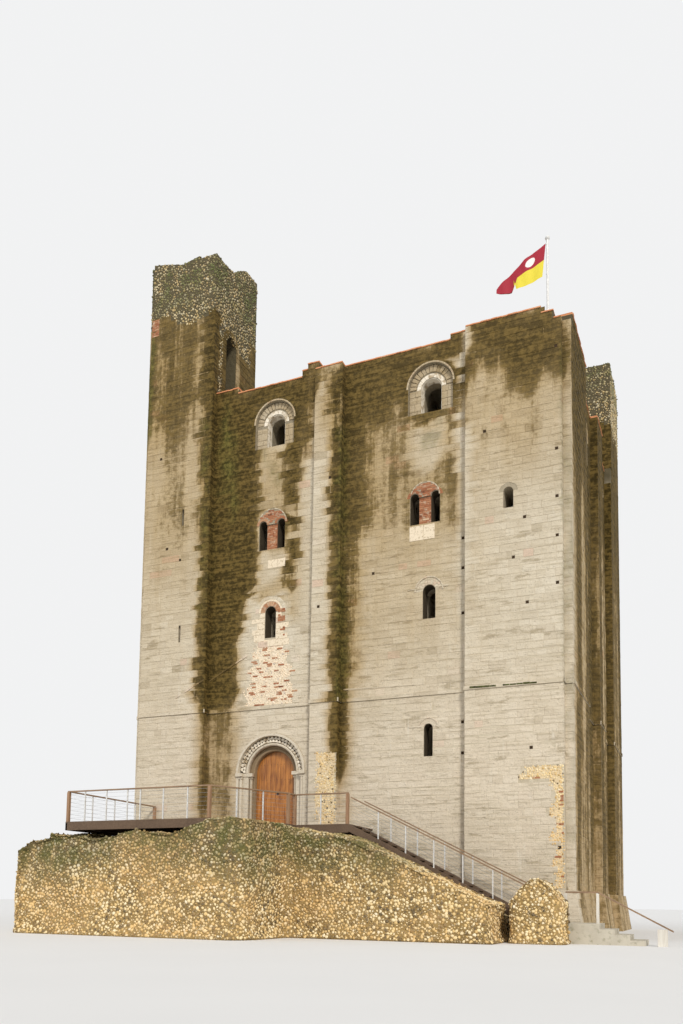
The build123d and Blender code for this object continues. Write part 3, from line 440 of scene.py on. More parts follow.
def metal_finish(name, colour, roughness, metallic=0.0, rust=0.0):
    """Metal or paint with dull patches and some rust."""
    finish = Finish(name, roughness)
    finish.feed("Metallic", metallic)
    wear = finish.noise(18.0, 5.0)
    dull = tuple(v * 0.72 for v in colour)
    base = finish.mix(wear.step(0.35, 0.7), dull, colour)
    if rust:
        base = finish.mix(finish.noise(9.0, 5.0).step(0.58, 0.72) * rust, base, (0.2, 0.085, 0.03))
    finish.colour(base)
    finish.feed("Roughness", wear * 0.25 + (roughness - 0.12))
    finish.bump(finish.noise(70.0, 3.0), 0.002, 0.4)
    return finish.material


def lead_finish():
    """Grey sheet of the roof with upright rolls."""
    finish = Finish("roof_lead", 0.6)
    rolls = finish.out("TexWave", 1, {
        "Vector": finish.place, "Scale": 0.52, "Distortion": 0.1, "Detail": 0.0}, wave_profile="SAW")
    base = finish.mix(finish.noise(0.8, 6.0), (0.2, 0.21, 0.22), (0.36, 0.37, 0.37))
    finish.colour(finish.mix(finish.noise(4.0, 5.0).step(0.55, 0.75) * 0.5, base, (0.46, 0.45, 0.42)))
    finish.bump(rolls.step(0.94, 1.0) + finish.noise(6.0, 4.0) * 0.15, 0.03, 0.8)
    return finish.material


def step_finish():
    """Worn stone of the lower steps and the ground floor."""
    finish = Finish("step_stone", 0.85)
    base = finish.mix(finish.noise(3.0, 5.0), (0.42, 0.38, 0.3), (0.66, 0.61, 0.5))
    finish.colour(finish.mix(finish.noise(8.0, 5.0).step(0.52, 0.75) * 0.55, base, (0.2, 0.19, 0.1)))
    finish.bump(finish.noise(26.0, 5.0), 0.012, 0.7)
    return finish.material


def flag_finish():
    """Two broad bands with a pale disc, woven fine."""
    finish = Finish("flag_cloth", 0.75)
    u, v, _, _ = finish.attribute("place")
    lower = v.step(0.49, 0.5)
    bands = finish.mix(lower, (0.36, 0.012, 0.03), (0.78, 0.66, 0.05))
    across = (u - 0.3) * 1.5
    down = v - 0.26
    disc = (across * across + down * down).step(0.0196, 0.0205)
    finish.colour(finish.mix(disc, (0.86, 0.84, 0.8), bands))
    finish.bump(finish.noise(90.0, 2.0), 0.002, 0.3)
    return finish.material


FINISHES = {
    "flag": flag_finish(),
    "pale_timber": wood_finish("pale_timber", (0.55, 0.5, 0.42), (0.82, 0.79, 0.71), "z"),
    "ashlar": ashlar_finish(),
    "core": core_finish(),
    "mortar": mortar_finish(),
    "putlog_shade": putlog_shade_finish(),
    "shade": shade_finish(),
    "ledge": ledge_finish(),
    "plaster": plaster_finish(),
    "cream": cream_finish(),
    "flint": flint_finish(),
    "rubble": rubble_finish(),
    "brick": brick_finish(),
    "tile": tile_finish(),
    "portal": portal_finish(),
    "door": wood_finish("oiled_oak", (0.14, 0.035, 0.005), (0.66, 0.27, 0.055), "z", 0.42, 7.0),
    "floor": wood_finish("floor_boards", (0.16, 0.09, 0.045), (0.36, 0.22, 0.11), "x"),
    "deck": wood_finish("deck_boards", (0.07, 0.042, 0.024), (0.2, 0.13, 0.08), "y", 0.75),
    "handrail": wood_finish("handrail_timber", (0.15, 0.085, 0.045), (0.4, 0.26, 0.15), "x", 0.5),
    "post_timber": wood_finish("post_timber", (0.22, 0.12, 0.06), (0.42, 0.25, 0.14), "z", 0.6),
    "steel": metal_finish("brushed_steel", (0.8, 0.79, 0.76), 0.4, 0.2),
    "wire": metal_finish("wire_rope", (0.4, 0.4, 0.39), 0.45, 0.6),
    "iron": metal_finish("black_iron", (0.055, 0.05, 0.048), 0.55, 0.5, 0.5),
    "paint": metal_finish("pole_paint", (0.86, 0.86, 0.83), 0.35),
    "lead": lead_finish(),
    "steps": step_finish(),
}


# Weather: how dark, green and warm the masonry is at a place

KNOTS = 64                 # before the smooth noise repeats


def band(value, low, high, edge):
    """1 between low and high, falling smoothly to 0 over edge at both ends."""
    rise = np.clip((value - low) / edge + 0.5, 0, 1)
    fall = np.clip((high - value) / edge + 0.5, 0, 1)
    rise, fall = (v * v * (3 - 2 * v) for v in (rise, fall))
    return rise * fall


def soft_noise(a, b, seed=0):
    """Smooth noise from -1 to 1 over two coordinates, one unit from bump to bump."""
    grid = np.random.default_rng(seed).uniform(-1, 1, (KNOTS, KNOTS))
    i, j = np.floor(a).astype(int), np.floor(b).astype(int)
    u, v = a - i, b - j
    u, v = u * u * (3 - 2 * u), v * v * (3 - 2 * v)

    def knot(di, dj):
        return grid[(i + di) % KNOTS, (j + dj) % KNOTS]

    low = knot(0, 0) * (1 - u) + knot(1, 0) * u
    return low * (1 - v) + (knot(0, 1) * (1 - u) + knot(1, 1) * u) * v


SKY = 40.0                 # over everything
CROWN = 26.3               # broken heads of the tall turrets
RUIN_TOP = 5.0             # flints under this are the ruins'

# Stains on the entrance front: x from, x to, z from, z to, edge, strength
FRONT_STAINS = (
    # left turret
    (-9.2, -5.6, 14.0, 27.0, 7.0, 0.5),
    (-9.2, -5.6, 8.0, 27.0, 9.0, 0.16),
    (-9.2, -5.6, 20.5, 27.0, 3.0, 0.42),
    (-5.9, -5.3, 8.4, 27.0, 0.1, 0.7),
    (-5.62, -5.3, 8.0, 27.0, 0.12, 0.8),
    (-5.9, -5.3, 4.0, 8.6, 0.3, 0.4),
    # left bay
    (-5.5, -3.42, 12.6, 22.4, 0.25, 0.97),
    (-5.5, -3.85, 8.9, 13.4, 0.3, 0.95),
    (-5.5, -4.1, 4.4, 9.4, 0.8, 0.5),
    (-3.5, -1.3, 20.2, 22.6, 0.8, 0.93),
    (-3.5, -1.5, 11.4, 19.8, 1.0, 0.42),
    (-2.1, -1.6, 13.0, 21.4, 0.16, 0.93),
    (-1.6, -0.7, 18.2, 22.4, 1.6, 0.85),
    # pilaster
    (-0.82, 0.38, 19.6, 22.4, 2.0, 0.6),
    (-0.1, 0.38, 5.5, 21.8, 0.12, 0.75),
    (0.12, 0.34, 5.5, 21.8, 0.08, 0.78),
    # right bay
    (0.3, 0.6, 8.4, 22.4, 0.1, 0.7),
    (0.4, 1.1, 9.0, 22.4, 0.6, 0.55),
    (0.3, 0.8, 4.4, 9.0, 0.4, 0.4),
    (0.3, 1.6, 15.0, 22.4, 0.9, 0.4),
    (0.3, 4.9, 11.0, 22.4, 6.0, 0.2),
    (0.3, 5.2, 8.8, 22.4, 4.0, 0.16),
    (0.5, 5.3, 19.2, 22.4, 1.4, 0.74),
    (0.9, 4.9, 14.6, 19.5, 2.6, 0.24),
    (4.2, 4.9, 14.0, 19.0, 0.5, 0.22),
    # right turret
    (5.2, 8.9, 19.8, 22.4, 2.0, 0.75),
    (5.2, 8.9, 16.5, 22.4, 4.0, 0.4),
)
# Places washed clean, laid over the stains
FRONT_CLEAN = (
    (-3.75, -1.9, 10.8, 13.2, 0.2, 0.85),
    (-4.1, -1.6, 8.5, 11.4, 0.4, 0.8),
    (-3.35, -2.08, 13.9, 15.0, 0.1, 0.6),
    (4.86, 5.2, 5.0, 22.4, 0.06, 0.85),
    (-0.8, -0.45, 6.0, 22.4, 0.1, 0.5),
    (3.1, 4.4, 17.2, 19.2, 0.3, 0.5),
)
# Green growth
FRONT_MOSS = (
    (-5.35, -4.2, 16.5, 21.2, 0.9, 0.5),
    (-5.35, -3.9, 11.0, 18.0, 1.2, 0.22),
    (-3.25, -2.2, 17.9, 19.1, 0.3, 0.4),
    (3.3, 4.3, 17.9, 19.1, 0.3, 0.45),
    (-6.1, -5.4, 12.0, 21.5, 0.6, 0.4),
    (-8.9, -8.35, 20.5, 25.4, 0.4, 0.6),
    (0.1, 0.7, 8.0, 20.0, 0.3, 0.42),
    (8.5, 8.9, 3.5, 21.4, 0.08, 0.36),
)


def weather_at(points, flinty=False, shelter=1.0):
    """Stain, moss and warmth at each point; the stain takes in some painted shade on the front and the
    right side.
    """
    x, y, z = points.T
    front = (y < -HALF_D + PROJ + 0.12) & (y > -HALF_D - 0.5)
    along = x + 0.09 * soft_noise(z * 0.5, x * 0.2, 1) + 0.05 * soft_noise(z * 1.9, x, 2)
    level = z + 0.9 * soft_noise(x * 1.6, z * 0.1, 3)
    # A mild darkening upward over the whole front: painted shade for light falling off with height, carried
    # in the stain.
    on_front = 0.06 * band(z, 10.0, SKY, 12.0)
    for x0, x1, z0, z1, edge, strength in FRONT_STAINS:
        spot = band(along, x0, x1, edge) * strength * band(level, z0, z1, max(edge, 1.0))
        on_front = on_front + (1 - on_front) * spot
    for x0, x1, z0, z1, edge, strength in FRONT_CLEAN:
        on_front = on_front * (1 - strength * band(along, x0, x1, edge) * band(level, z0, z1, 0.4))
    green = np.zeros(len(x))
    for x0, x1, z0, z1, edge, strength in FRONT_MOSS:
        patch = band(along, x0, x1, edge) * band(level, z0, z1, 2 * edge) * strength
        green = np.maximum(green, patch)
    streaks = 0.5 + 0.9 * soft_noise((x + y) * 1.7, z * 0.08, 4)
    # The right side starts darker than the others: partly its stains, partly painted shade for a face
    # turned from the light.
    base = np.where(x > HALF_W - PROJ - 0.12, 0.43, 0.18)
    sides = base + 0.36 * band(z, 17.5, SKY, 5.0)
    sides = sides + 0.45 * np.clip(streaks, 0, 1) * band(z, 2.0, SKY, 9.0)
    side_moss = 0.25 * np.clip(soft_noise((x + y) * 0.9, z * 0.12, 5), 0, 1) * band(z, 9.0, SKY, 12.0)
    stain = np.where(front, on_front, np.clip(sides, 0, 1)) * shelter
    moss = np.where(front, green, side_moss) * shelter
    warm = band(z, -1.0, 9.0, 6.0) * 0.8
    if flinty:
        low = z < RUIN_TOP
        ridge = band(z + 0.5 * soft_noise(x * 0.8, y * 0.8, 6), 2.3, 6.0, 1.8)
        ridge = ridge * (1 - band(x, 4.5, 20.0, 2.5))
        stain = np.where(low, ridge * 0.85, 0.75)
        moss = np.where(low, ridge * 0.55, 0.75 * band(z, CROWN, SKY, 2.4) + 0.2)
    return stain, moss, warm


class Pile:
    """Many small solids gathered into one mesh, with a tone for each."""

    def __init__(self, seed):
        self.points = []
        self.faces = []
        self.tones = []
        self.kinds = []
        self.random = random.Random(seed)

    def add(self, points, faces, tone=None, kind=0):
        start = len(self.points)
        if tone is None:
            odd = self.random.random()
            tone = min(max(self.random.gauss(0.5, 0.14), 0.15), 0.85)
            tone = 0.0 if odd < 0.02 else 1.0 if odd > 0.99 else tone
        self.points.extend(points)
        self.tones.extend([tone] * len(points))
        self.faces.extend([[start + i for i in face] for face in faces])
        self.kinds.extend([kind] * len(faces))

    def box(self, low, high, tone=None, kind=0):
        x0, y0, z0 = low
        x1, y1, z1 = high
        points = [(x, y, z) for z in (z0, z1) for x, y in ((x0, y0), (x1, y0), (x1, y1), (x0, y1))]
        self.add(points, BOX_FACES, tone, kind)

    def build(self, name, finishes, slot, replaced=(), body="keep", shelter=1.0):
        mesh = bpy.data.meshes.new(name)
        mesh.from_pydata([tuple(p) for p in self.points], [], self.faces)
        dress(mesh, name, finishes, self.tones, self.kinds, replaced, body, shelter=shelter)


BOX_FACES = ((0, 3, 2, 1), (4, 5, 6, 7), (0, 1, 5, 4), (1, 2, 6, 5), (2, 3, 7, 6), (3, 0, 4, 7))


def dress(
        mesh, name, finishes, tones, kinds=None, replaced=(), body="keep", flinty=False,
        smooth=False, shelter=1.0):
    """Turn a mesh into a piece with its finishes and its weather."""
    for finish in finishes:
        mesh.materials.append(FINISHES[finish])
    if len(finishes) > 1:
        mesh.polygons.foreach_set("material_index", kinds)
    points = np.empty(len(mesh.vertices) * 3, np.float32)
    mesh.vertices.foreach_get("co", points)
    stain, moss, warm = weather_at(points.reshape(-1, 3).astype(float), flinty, shelter)
    values = np.stack([stain, moss, np.asarray(tones, float), warm], 1).astype(np.float32)
    layer = mesh.attributes.new("weather", "FLOAT_COLOR", "POINT")
    layer.data.foreach_set("color", values.ravel())
    if smooth:
        mesh.polygons.foreach_set("use_smooth", [True] * len(mesh.polygons))
    mesh.update()
    piece = bpy.data.objects.new(name, mesh)
    bpy.context.scene.collection.objects.link(piece)
    if replaced:
        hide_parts(*replaced)
    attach(piece, body)
    return piece


# Walls: a face runs from one plan point to the next with the outside on its right


class Face:
    """One upright face of the masonry, seen from outside."""

    def __init__(self, start, end, low, high, foot=(0.0, 0.0), holes=()):
        self.start = Vector(start)
        self.end = Vector(end)
        self.length = (self.end - self.start).length
        self.along = (self.end - self.start) / self.length
        self.normal = Vector((self.along.y, -self.along.x))
        self.low = low
        self.high = high
        self.foot = foot       # turn of the plan at each end: 1 outward corner, -1 inward, 0 none
        self.holes = list(holes)
        self.bare = None       # a test of (s, z) for where the stones have gone
        self.offset = 0.0

    def batter(self, z):
        if z >= PLINTH:
            return 0.0
        return PLINTH_LEDGE + PLINTH_BATTER * (1 - z / PLINTH)

    def at(self, s, z, out):
        """Point at s along the face, at height z, standing out from it."""
        slope = self.batter(z)
        share = s / self.length
        shift = slope * (share * self.foot[1] - (1 - share) * self.foot[0])
        xy = self.start + self.along * (s + shift) + self.normal * (out + slope + self.offset)
        return (xy.x, xy.y, z)

    def local(self, x, y):
        """Distance along the face of a plan point."""
        return (Vector((x, y)) - self.start).dot(self.along)


class Hole:
    """A round-headed or square opening in a face, with an arch ring wider than it."""

    def __init__(self, middle, half, sill, spring, ring=None, flat=False):
        self.middle = middle
        self.half = half
        self.sill = sill
        self.spring = spring
        self.ring = half if ring is None else ring
        self.flat = flat
        self.top = spring if flat else spring + self.ring

    def reach(self, z):
        if z <= self.spring:
            return self.half
        return math.sqrt(max(self.ring ** 2 - (z - self.spring) ** 2, 0.0))

    def side(self, sign, z0, z1):
        """Its edge between two heights, from below, as (s, z)."""
        if self.flat:
            return [(self.middle + sign * self.half, z) for z in (z0, z1)]
        stops = {z0, z1}
        if z0 < self.spring < z1:
            stops.add(self.spring)
        low = max(z0, self.spring)
        high = min(z1, self.top)
        if high > low:
            stops.update(low + (high - low) * i / 3 for i in (1, 2, 3))
        line = []
        for z in sorted(stops):
            line.append((self.middle + sign * self.reach(z), z))
            if z == self.spring and self.ring > self.half and z < z1:
                line.append((self.middle + sign * self.ring, z))
        return line


def lay_stone(pile, face, outline, proud, chamfer=CHAMFER, tone=None, kind=0):
    """One worn block with its outline given as (s, z) points, anticlockwise from outside."""
    count = len(outline)
    cs = sum(p[0] for p in outline) / count
    cz = sum(p[1] for p in outline) / count
    front = []
    for s, z in outline:
        reach = math.hypot(s - cs, z - cz)
        pull = min(chamfer * 1.5 / max(reach, 1e-6), 0.4)
        front.append((s + (cs - s) * pull, z + (cz - z) * pull))
    wear = [proud + pile.random.uniform(-0.003, 0.003) for _ in outline]
    points = [face.at(s, z, -SUNK) for s, z in outline]
    points += [face.at(s, z, p - chamfer) for (s, z), p in zip(outline, wear)]
    points += [face.at(s, z, p) for (s, z), p in zip(front, wear)]
    faces = []
    for ring in (0, count):
        for i in range(count):
            j = (i + 1) % count
            faces.append((ring + i, ring + j, ring + count + j, ring + count + i))
    faces.append(tuple(range(2 * count, 3 * count)))
    pile.add(points, faces, tone, kind)


def shrink(line, by):
    return [(s + by, z) for s, z in line]


def rectangle(s, z):
    """Outline of a block between two places along a face and two heights."""
    return [(s[0], z[0]), (s[1], z[0]), (s[1], z[1]), (s[0], z[1])]


def on_arch(middle, spring, places):
    """Points (s, z) of an arch, each place a radius and a turn from the left springing."""
    return [(middle - radius * math.cos(turn), spring + radius * math.sin(turn)) for radius, turn in places]


def lay_course(pile, face, z0, z1, proud=PROUD, lengths=STONE, wild=0.006):
    """One course of a face, broken at its openings."""
    low = z0 + JOINT / 2
    high = z1 - JOINT / 2
    corner = [0.0 if turn <= 0 else proud for turn in face.foot]
    runs = []
    left = [(-corner[0], low), (-corner[0], high)]
    for hole in sorted(face.holes, key=lambda h: h.middle):
        if hole.sill >= high - GRAZE or hole.top <= low + GRAZE:
            continue
        sides = (hole.middle - hole.half, hole.middle + hole.half)
        fillers = []
        if hole.sill > low + SLIVER:
            fillers.append((low, hole.sill))
        if hole.flat and hole.top < high - SLIVER:
            fillers.append((hole.top, high))
        for filler in fillers:
            lay_stone(pile, face, rectangle(sides, filler), proud)
        runs.append((left, shrink(hole.side(-1, low, high), -JOINT / 2)))
        left = shrink(hole.side(1, low, high), JOINT / 2)
    end = face.length + corner[1]
    runs.append((left, [(end, low), (end, high)]))
    for start, stop in runs:
        lay_run(pile, face, start, stop, proud, lengths, wild)


def eroded(pile, face, outline, middle, low, high):
    """A stone's outline with its beds opened where the wall has weathered, its corners uneven."""
    place = Vector(face.at(middle, low, 0.0))
    opened = noise.noise(Vector((place.x * 0.32, place.y * 0.32, place.z * 1.7))) - 0.12
    lift = min(max(opened * 0.16, 0.0), 0.05) * pile.random.uniform(0.3, 1.3)
    drop = lift * 0.4
    shaped = []
    for s, z in outline:
        share = (z - low) / (high - low)
        wander = pile.random.uniform(-0.004, 0.004)
        shaped.append((s + wander * 0.5, z + lift * (1 - share) - drop * share + wander))
    return shaped


def lay_mortar(pile, face, start, stop, first, last):
    """The mortar behind one run, in lengths short enough to take the weather."""
    count = max(1, round((last - first) / MORTAR_LENGTH))
    low, high = start[0][1], start[-1][1]
    cuts = [first + (last - first) * i / count for i in range(1, count)]
    edges = [start] + [[(s, low), (s, high)] for s in cuts] + [stop]
    for a, b in zip(edges, edges[1:]):
        outline = [a[0]] + b + list(reversed(a[1:]))
        middle = sum(s for s, _ in outline) / len(outline)
        if face.bare and face.bare(middle, (low + high) / 2):
            continue
        points = [
            face.at(s, z + (JOINT / 2 if z == high else -JOINT / 2 if z == low else 0), MORTAR_OUT)
            for s, z in outline]
        pile.add(points, [tuple(range(len(points)))], 0.5, MORTAR)


def lay_run(pile, face, start, stop, proud, lengths, wild):
    """Stones between two edges, each edge given from below."""
    first = max(s for s, _ in start)
    last = min(s for s, _ in stop)
    if min(b[0] - a[0] for a, b in ((start[0], stop[0]), (start[-1], stop[-1]))) < SLIVER:
        return
    lay_mortar(pile, face, start, stop, first, last)
    joints = []
    s = first + pile.random.uniform(*lengths)
    while s < last - lengths[0] * 0.6:
        joints.append(s)
        s += pile.random.uniform(*lengths)
    low, high = start[0][1], start[-1][1]
    edges = [start] + [[(j, low), (j, high)] for j in joints] + [stop]
    for index, (a, b) in enumerate(zip(edges, edges[1:])):
        inner_a = shrink(a, JOINT / 2) if index else a
        inner_b = shrink(b, -JOINT / 2) if index < len(edges) - 2 else b
        outline = [inner_a[0]] + inner_b + list(reversed(inner_a[1:]))
        middle = sum(p[0] for p in outline) / len(outline)
        if face.bare and face.bare(middle, (low + high) / 2):
            continue
        outline = eroded(pile, face, outline, middle, low, high)
        depth = proud + pile.random.uniform(-wild, wild)
        lay_stone(pile, face, outline, depth, pile.random.uniform(0.005, 0.01))


def course_levels(low, high):
    """Heights of the bed joints from low to high, in step with every face."""
    stops = [z for z in LEVELS if low < z < high]
    stops = [low] + stops + [high]
    levels = [low]
    for a, b in zip(stops, stops[1:]):
        count = max(1, round((b - a) / COURSE))
        levels += [a + (b - a) * i / count for i in range(1, count + 1)]
    return levels


def lay_face(pile, face):
    levels = course_levels(face.low, face.high)
    for z0, z1 in zip(levels, levels[1:]):
        in_string = STRING - 0.01 < z0 and z1 < STRING + STRING_H + 0.01
        if in_string:
            face.offset = STRING_OUT
            lay_course(pile, face, z0, z1, 0.006, (0.5, 1.1))
            face.offset = 0.0
        else:
            lay_course(pile, face, z0, z1)


def wedge(middle, spring, outer, inner, turn, half):
    """Outline of one wedge stone, half its turn to each side."""
    return on_arch(middle, spring, (
        (outer, turn - half), (outer, turn + half), (inner, turn + half), (inner, turn - half)))


def voussoirs(pile, face, middle, spring, inner, outer, count, proud, tone=None, kind=0):
    """A ring of wedge stones over an opening."""
    gap = JOINT / 2
    for i in range(count):
        a0 = math.pi * i / count + gap / inner
        a1 = math.pi * (i + 1) / count - gap / inner
        mid = (a0 + a1) / 2
        outline = on_arch(middle, spring, (
            (outer, a0), (outer, mid), (outer, a1), (inner, a1), (inner, mid), (inner, a0)))
        colour = pile.random.uniform(0.6, 0.95) if tone is None else tone
        lay_stone(pile, face, outline, proud, CHAMFER, colour, kind)


# Windows, as places along their bay; a ring is the outside of the arch stones

SLIT = {"half": 0.165, "sill": 6.36, "spring": 7.375, "ring": 0.34}
HALL = {"half": 0.24, "sill": 11.385, "spring": 12.405, "ring": 0.5}
PAIR = {"half": 0.575, "sill": 14.96, "spring": 15.985}
PAIR_RINGS = (0.66, 0.59)
PAIR_LIGHT = 0.35
PAIR_PIER = 0.45
PIER_BACK = 0.06           # the brick pier's face behind the wall's
TOP_WINDOW = {"half": 0.86, "sill": 19.19, "spring": 20.23, "ring": 0.93}
TOP_LIGHT_HALF = 0.395
TOP_LIGHT_SPRING = 20.195
TOP_RECESS = 0.16
TURRET_LIGHT = {"half": 0.175, "sill": 14.89, "spring": 15.475, "ring": 0.33}
TURRET_LIGHT_IN = 2.115    # from the corner to the middle
ARROW_SLIT_IN = 2.13
ARROW_SLIT_HALF = 0.045
ARROW_SLIT_H = 0.7
ARROW_SLIT_SILLS = (11.55, 16.45)
DOORWAY = {"half": 0.4, "sill": 22.3, "spring": 24.7, "ring": 0.66}
DOORWAY_IN = 1.35

# Parts of a side from left to right: turret, bay, pilaster, bay, turret
FIRST_TURRET, LEFT_SIDE_BAY, PILASTER, RIGHT_SIDE_BAY, LAST_TURRET = range(5)
TURRETS = (FIRST_TURRET, LAST_TURRET)
SETBACKS = (0.0, PROJ, 0.0, PROJ, 0.0)

# Finishes of a piece that has several, and after them the kinds of its stones, counted from 0
SKIN = ["ashlar", "putlog_shade", "mortar"]
PUTLOG_SHADE, MORTAR = 1, 2


def mirrored(pair):
    return (-pair[1], -pair[0])


# Each side's turn, its half length and half depth, turrets' widths, pilaster and bays' middles
SIDES = {
    "front": (0, HALF_W, HALF_D, LEFT_TURRET, RIGHT_TURRET, FRONT_PILASTER, (LEFT_BAY, RIGHT_BAY)),
    "right": (90, HALF_D, HALF_W, FRONT_TURRET, BACK_TURRET, SIDE_PILASTER, (NEAR_BAY, FAR_BAY)),
    "back": (180, HALF_W, HALF_D, RIGHT_TURRET, LEFT_TURRET, mirrored(FRONT_PILASTER),
             mirrored((LEFT_BAY, RIGHT_BAY))),
    "left": (-90, HALF_D, HALF_W, BACK_TURRET, FRONT_TURRET, mirrored(SIDE_PILASTER),
             mirrored((NEAR_BAY, FAR_BAY)))}


class Side:
    """One side of the keep in plan: its parts' ends from left to right, and its turn."""

    def __init__(self, name):
        turn, half, depth, first, last, pilaster, bays = SIDES[name]
        self.name = name
        self.depth = depth
        self.stops = (-half, -half + first, *pilaster, half - last, half)
        self.spin = Matrix.Rotation(math.radians(turn), 2)
        self.bays = bays
        self.pairs = PAIRS_AT if name == "front" else bays

    def at(self, x, back=0.0):
        """Plan point at x along the side, so far behind the turrets' faces."""
        return self.spin @ Vector((x, -self.depth + back))

    def bay_face(self):
        """The bays' plane from end to end as one long face."""
        return Face(self.at(self.stops[0], PROJ), self.at(self.stops[-1], PROJ), 0.0, 30.0)

    def along(self, x):
        """Distance of x from the side's left end."""
        return x - self.stops[0]


def bay_holes(side, index):
    """Openings of the left or right bay, at places along the face."""
    bay = (LEFT_SIDE_BAY, RIGHT_SIDE_BAY).index(index)
    start = side.stops[index]
    middle = side.bays[bay] - start
    places = [(HALL, middle), (PAIR, side.pairs[bay] - start), (TOP_WINDOW, middle)]
    holes = []
    if side.name == "front" and bay == 0:
        holes.append(Hole(DOOR_X - start, SURROUND, DECK - 0.3, DOOR_SPRING, SURROUND))
    else:
        places.append((SLIT, middle))
    for kind, place in places:
        ring = PAIR_RINGS[bay] if kind is PAIR else kind["ring"]
        holes.append(Hole(place, kind["half"], kind["sill"], kind["spring"], ring))
    return holes


def turret_holes(side, index, nook):
    """Lights and slits of the outer turret faces, on the front and the back."""
    if side.name not in ("front", "back"):
        return []
    left_turret = (side.name == "front") == (index == FIRST_TURRET)
    width, inward = (LEFT_TURRET, ARROW_SLIT_IN) if left_turret else (RIGHT_TURRET, TURRET_LIGHT_IN)
    s = (inward if index == FIRST_TURRET else width - inward) - nook
    if left_turret:
        return [Hole(s, ARROW_SLIT_HALF, sill, sill + ARROW_SLIT_H, flat=True)
                for sill in ARROW_SLIT_SILLS]
    light = TURRET_LIGHT
    return [Hole(s, light["half"], light["sill"], light["spring"], light["ring"])]


# Parts of the sides that go up into a tall turret
TALL_CORNERS = (
    ("front", FIRST_TURRET), ("left", LAST_TURRET), ("right", LAST_TURRET), ("back", FIRST_TURRET))
# Scaffold holes of the front as (x, z), and how high they stand in rows on the other sides
PUTLOGS = {
    FIRST_TURRET: ((-6.8, 14.93), (-7.46, 15.62), (-6.98, 17.17), (-6.4, 12.4), (-7.9, 19.6)),
    PILASTER: ((-0.5, 12.1), (-0.1, 17.3)),
    RIGHT_SIDE_BAY: ((5.04, 14.26), (5.04, 12.94), (5.04, 11.4), (5.04, 7.48), (5.04, 6.22), (1.6, 13.4)),
    LAST_TURRET: (
        (7.3, 14.49), (6.91, 13.06), (7.38, 11.48), (7.49, 6.24), (5.9, 17.9), (8.4, 20.2),
        (8.4, 16.7), (8.4, 15.05), (8.4, 13.5), (8.4, 11.9), (8.4, 3.01))}
PUTLOG_LEVELS = (4.9, 7.6, 9.9, 12.7, 14.0, 17.9)


def putlogs_of(side, index, dice):
    """Where scaffold holes are left in a face, as in the photo or spread about."""
    if side.name == "front":
        return PUTLOGS.get(index, ())
    if SETBACKS[index]:
        return ()
    low, high = side.stops[index] + 0.5, side.stops[index + 1] - 0.5
    return [(dice.uniform(low, high), level + dice.uniform(-0.3, 0.3)) for level in PUTLOG_LEVELS]


def leave_putlog(pile, face, s, z):
    """A square scaffold hole on the bed joint nearest to z, clear of windows, with a near-black plate at
    its back painted as the shade inside it.
    """
    bed = min(course_levels(face.low, face.high), key=lambda level: abs(level - z)) + JOINT / 2
    half, high = 0.05, 0.1
    clear = all(
        abs(s - hole.middle) > hole.half + 0.35 or not hole.sill - 0.4 < z < hole.top + 0.4
        for hole in face.holes)
    if clear:
        face.holes.append(Hole(s, half, bed, bed + high, flat=True))
        # a near-black plate at the hole's back: painted shade
        slab(pile, face, s - half - 0.01, s + half + 0.01, bed - 0.005, bed + high + 0.005,
             -0.005, 0.003, kind=PUTLOG_SHADE)


def parapet_top(side, index):
    if (side.name, index) in TALL_CORNERS:
        return WALK
    return TURRET_TOP if index in TURRETS else BAY_TOP


def scar_at(x, z):
    """Where the ashlar of the front has fallen away and flint and brick show."""
    pilaster_foot = -0.5 + 0.04 * math.sin(z * 11) <= x < 0.345 and 3.9 < z < 6.72
    corner_band = 7.15 + 0.1 * math.sin(z * 9) < x < 8.6 and 5.36 < z < 5.78
    corner_foot = 8.17 + 0.12 * math.sin(z * 7) < x < 8.6 and 1.7 < z < 5.4
    spread = 0.7 + 0.42 * (11.3 - z) / 2.6 + 0.12 * math.sin(z * 8.3)
    over_door = 8.72 < z < 11.28 and abs(x - LEFT_BAY) < spread
    return pilaster_foot or corner_band or corner_foot or over_door


RIGHT_DRESSED_TO = 24.2    # where the tall turrets' dressed stone ends, about
LEFT_DRESSED_TO = 25.5


def bare_at(x, y, z):
    """Where the dressed stone has gone and the flint core shows, over the whole keep."""
    broken = noise.noise(Vector((x * 0.8, y * 0.8, z * 0.35)))
    (upper_x, upper_top), (lower_x, lower_top) = CORNER_STEPS
    if x > upper_x and y < -HALF_D + PARAPET_T and z > WALK:
        return z > (lower_top if x > lower_x else upper_top)
    if z < WALK:
        return y < -HALF_D + PROJ + 0.1 and scar_at(x, z)
    if z < TURRET_TOP:
        return False
    if x > 0:
        return z > RIGHT_DRESSED_TO + 0.9 * broken
    if z > LEFT_DRESSED_TO + 0.7 * broken:
        return True
    quoins = 0.42 + 0.12 * broken
    from_front, from_back = y + HALF_D, -HALF_D + TALL - y
    jamb = from_front > 0.63 and z < 24.6 + 0.4 * broken
    inner_side = x > -HALF_W + TALL - 0.1 and min(from_front, from_back) > quoins
    return inner_side and z > 21.9 + 0.4 * broken and not jamb


def bare_on(face):
    """The same test for the stones of one face."""
    def gone(s, z):
        return bare_at(*face.at(s, z, 0.0))
    return gone


def lay_return(pile, outer, inner, low, high, inward):
    """The narrow face between two planes of a side, running inward or outward."""
    if inward:
        face = Face(outer, inner, low, high, (1, -1))
    else:
        face = Face(inner, outer, low, high, (-1, 1))
    face.bare = bare_on(face)
    lay_face(pile, face)


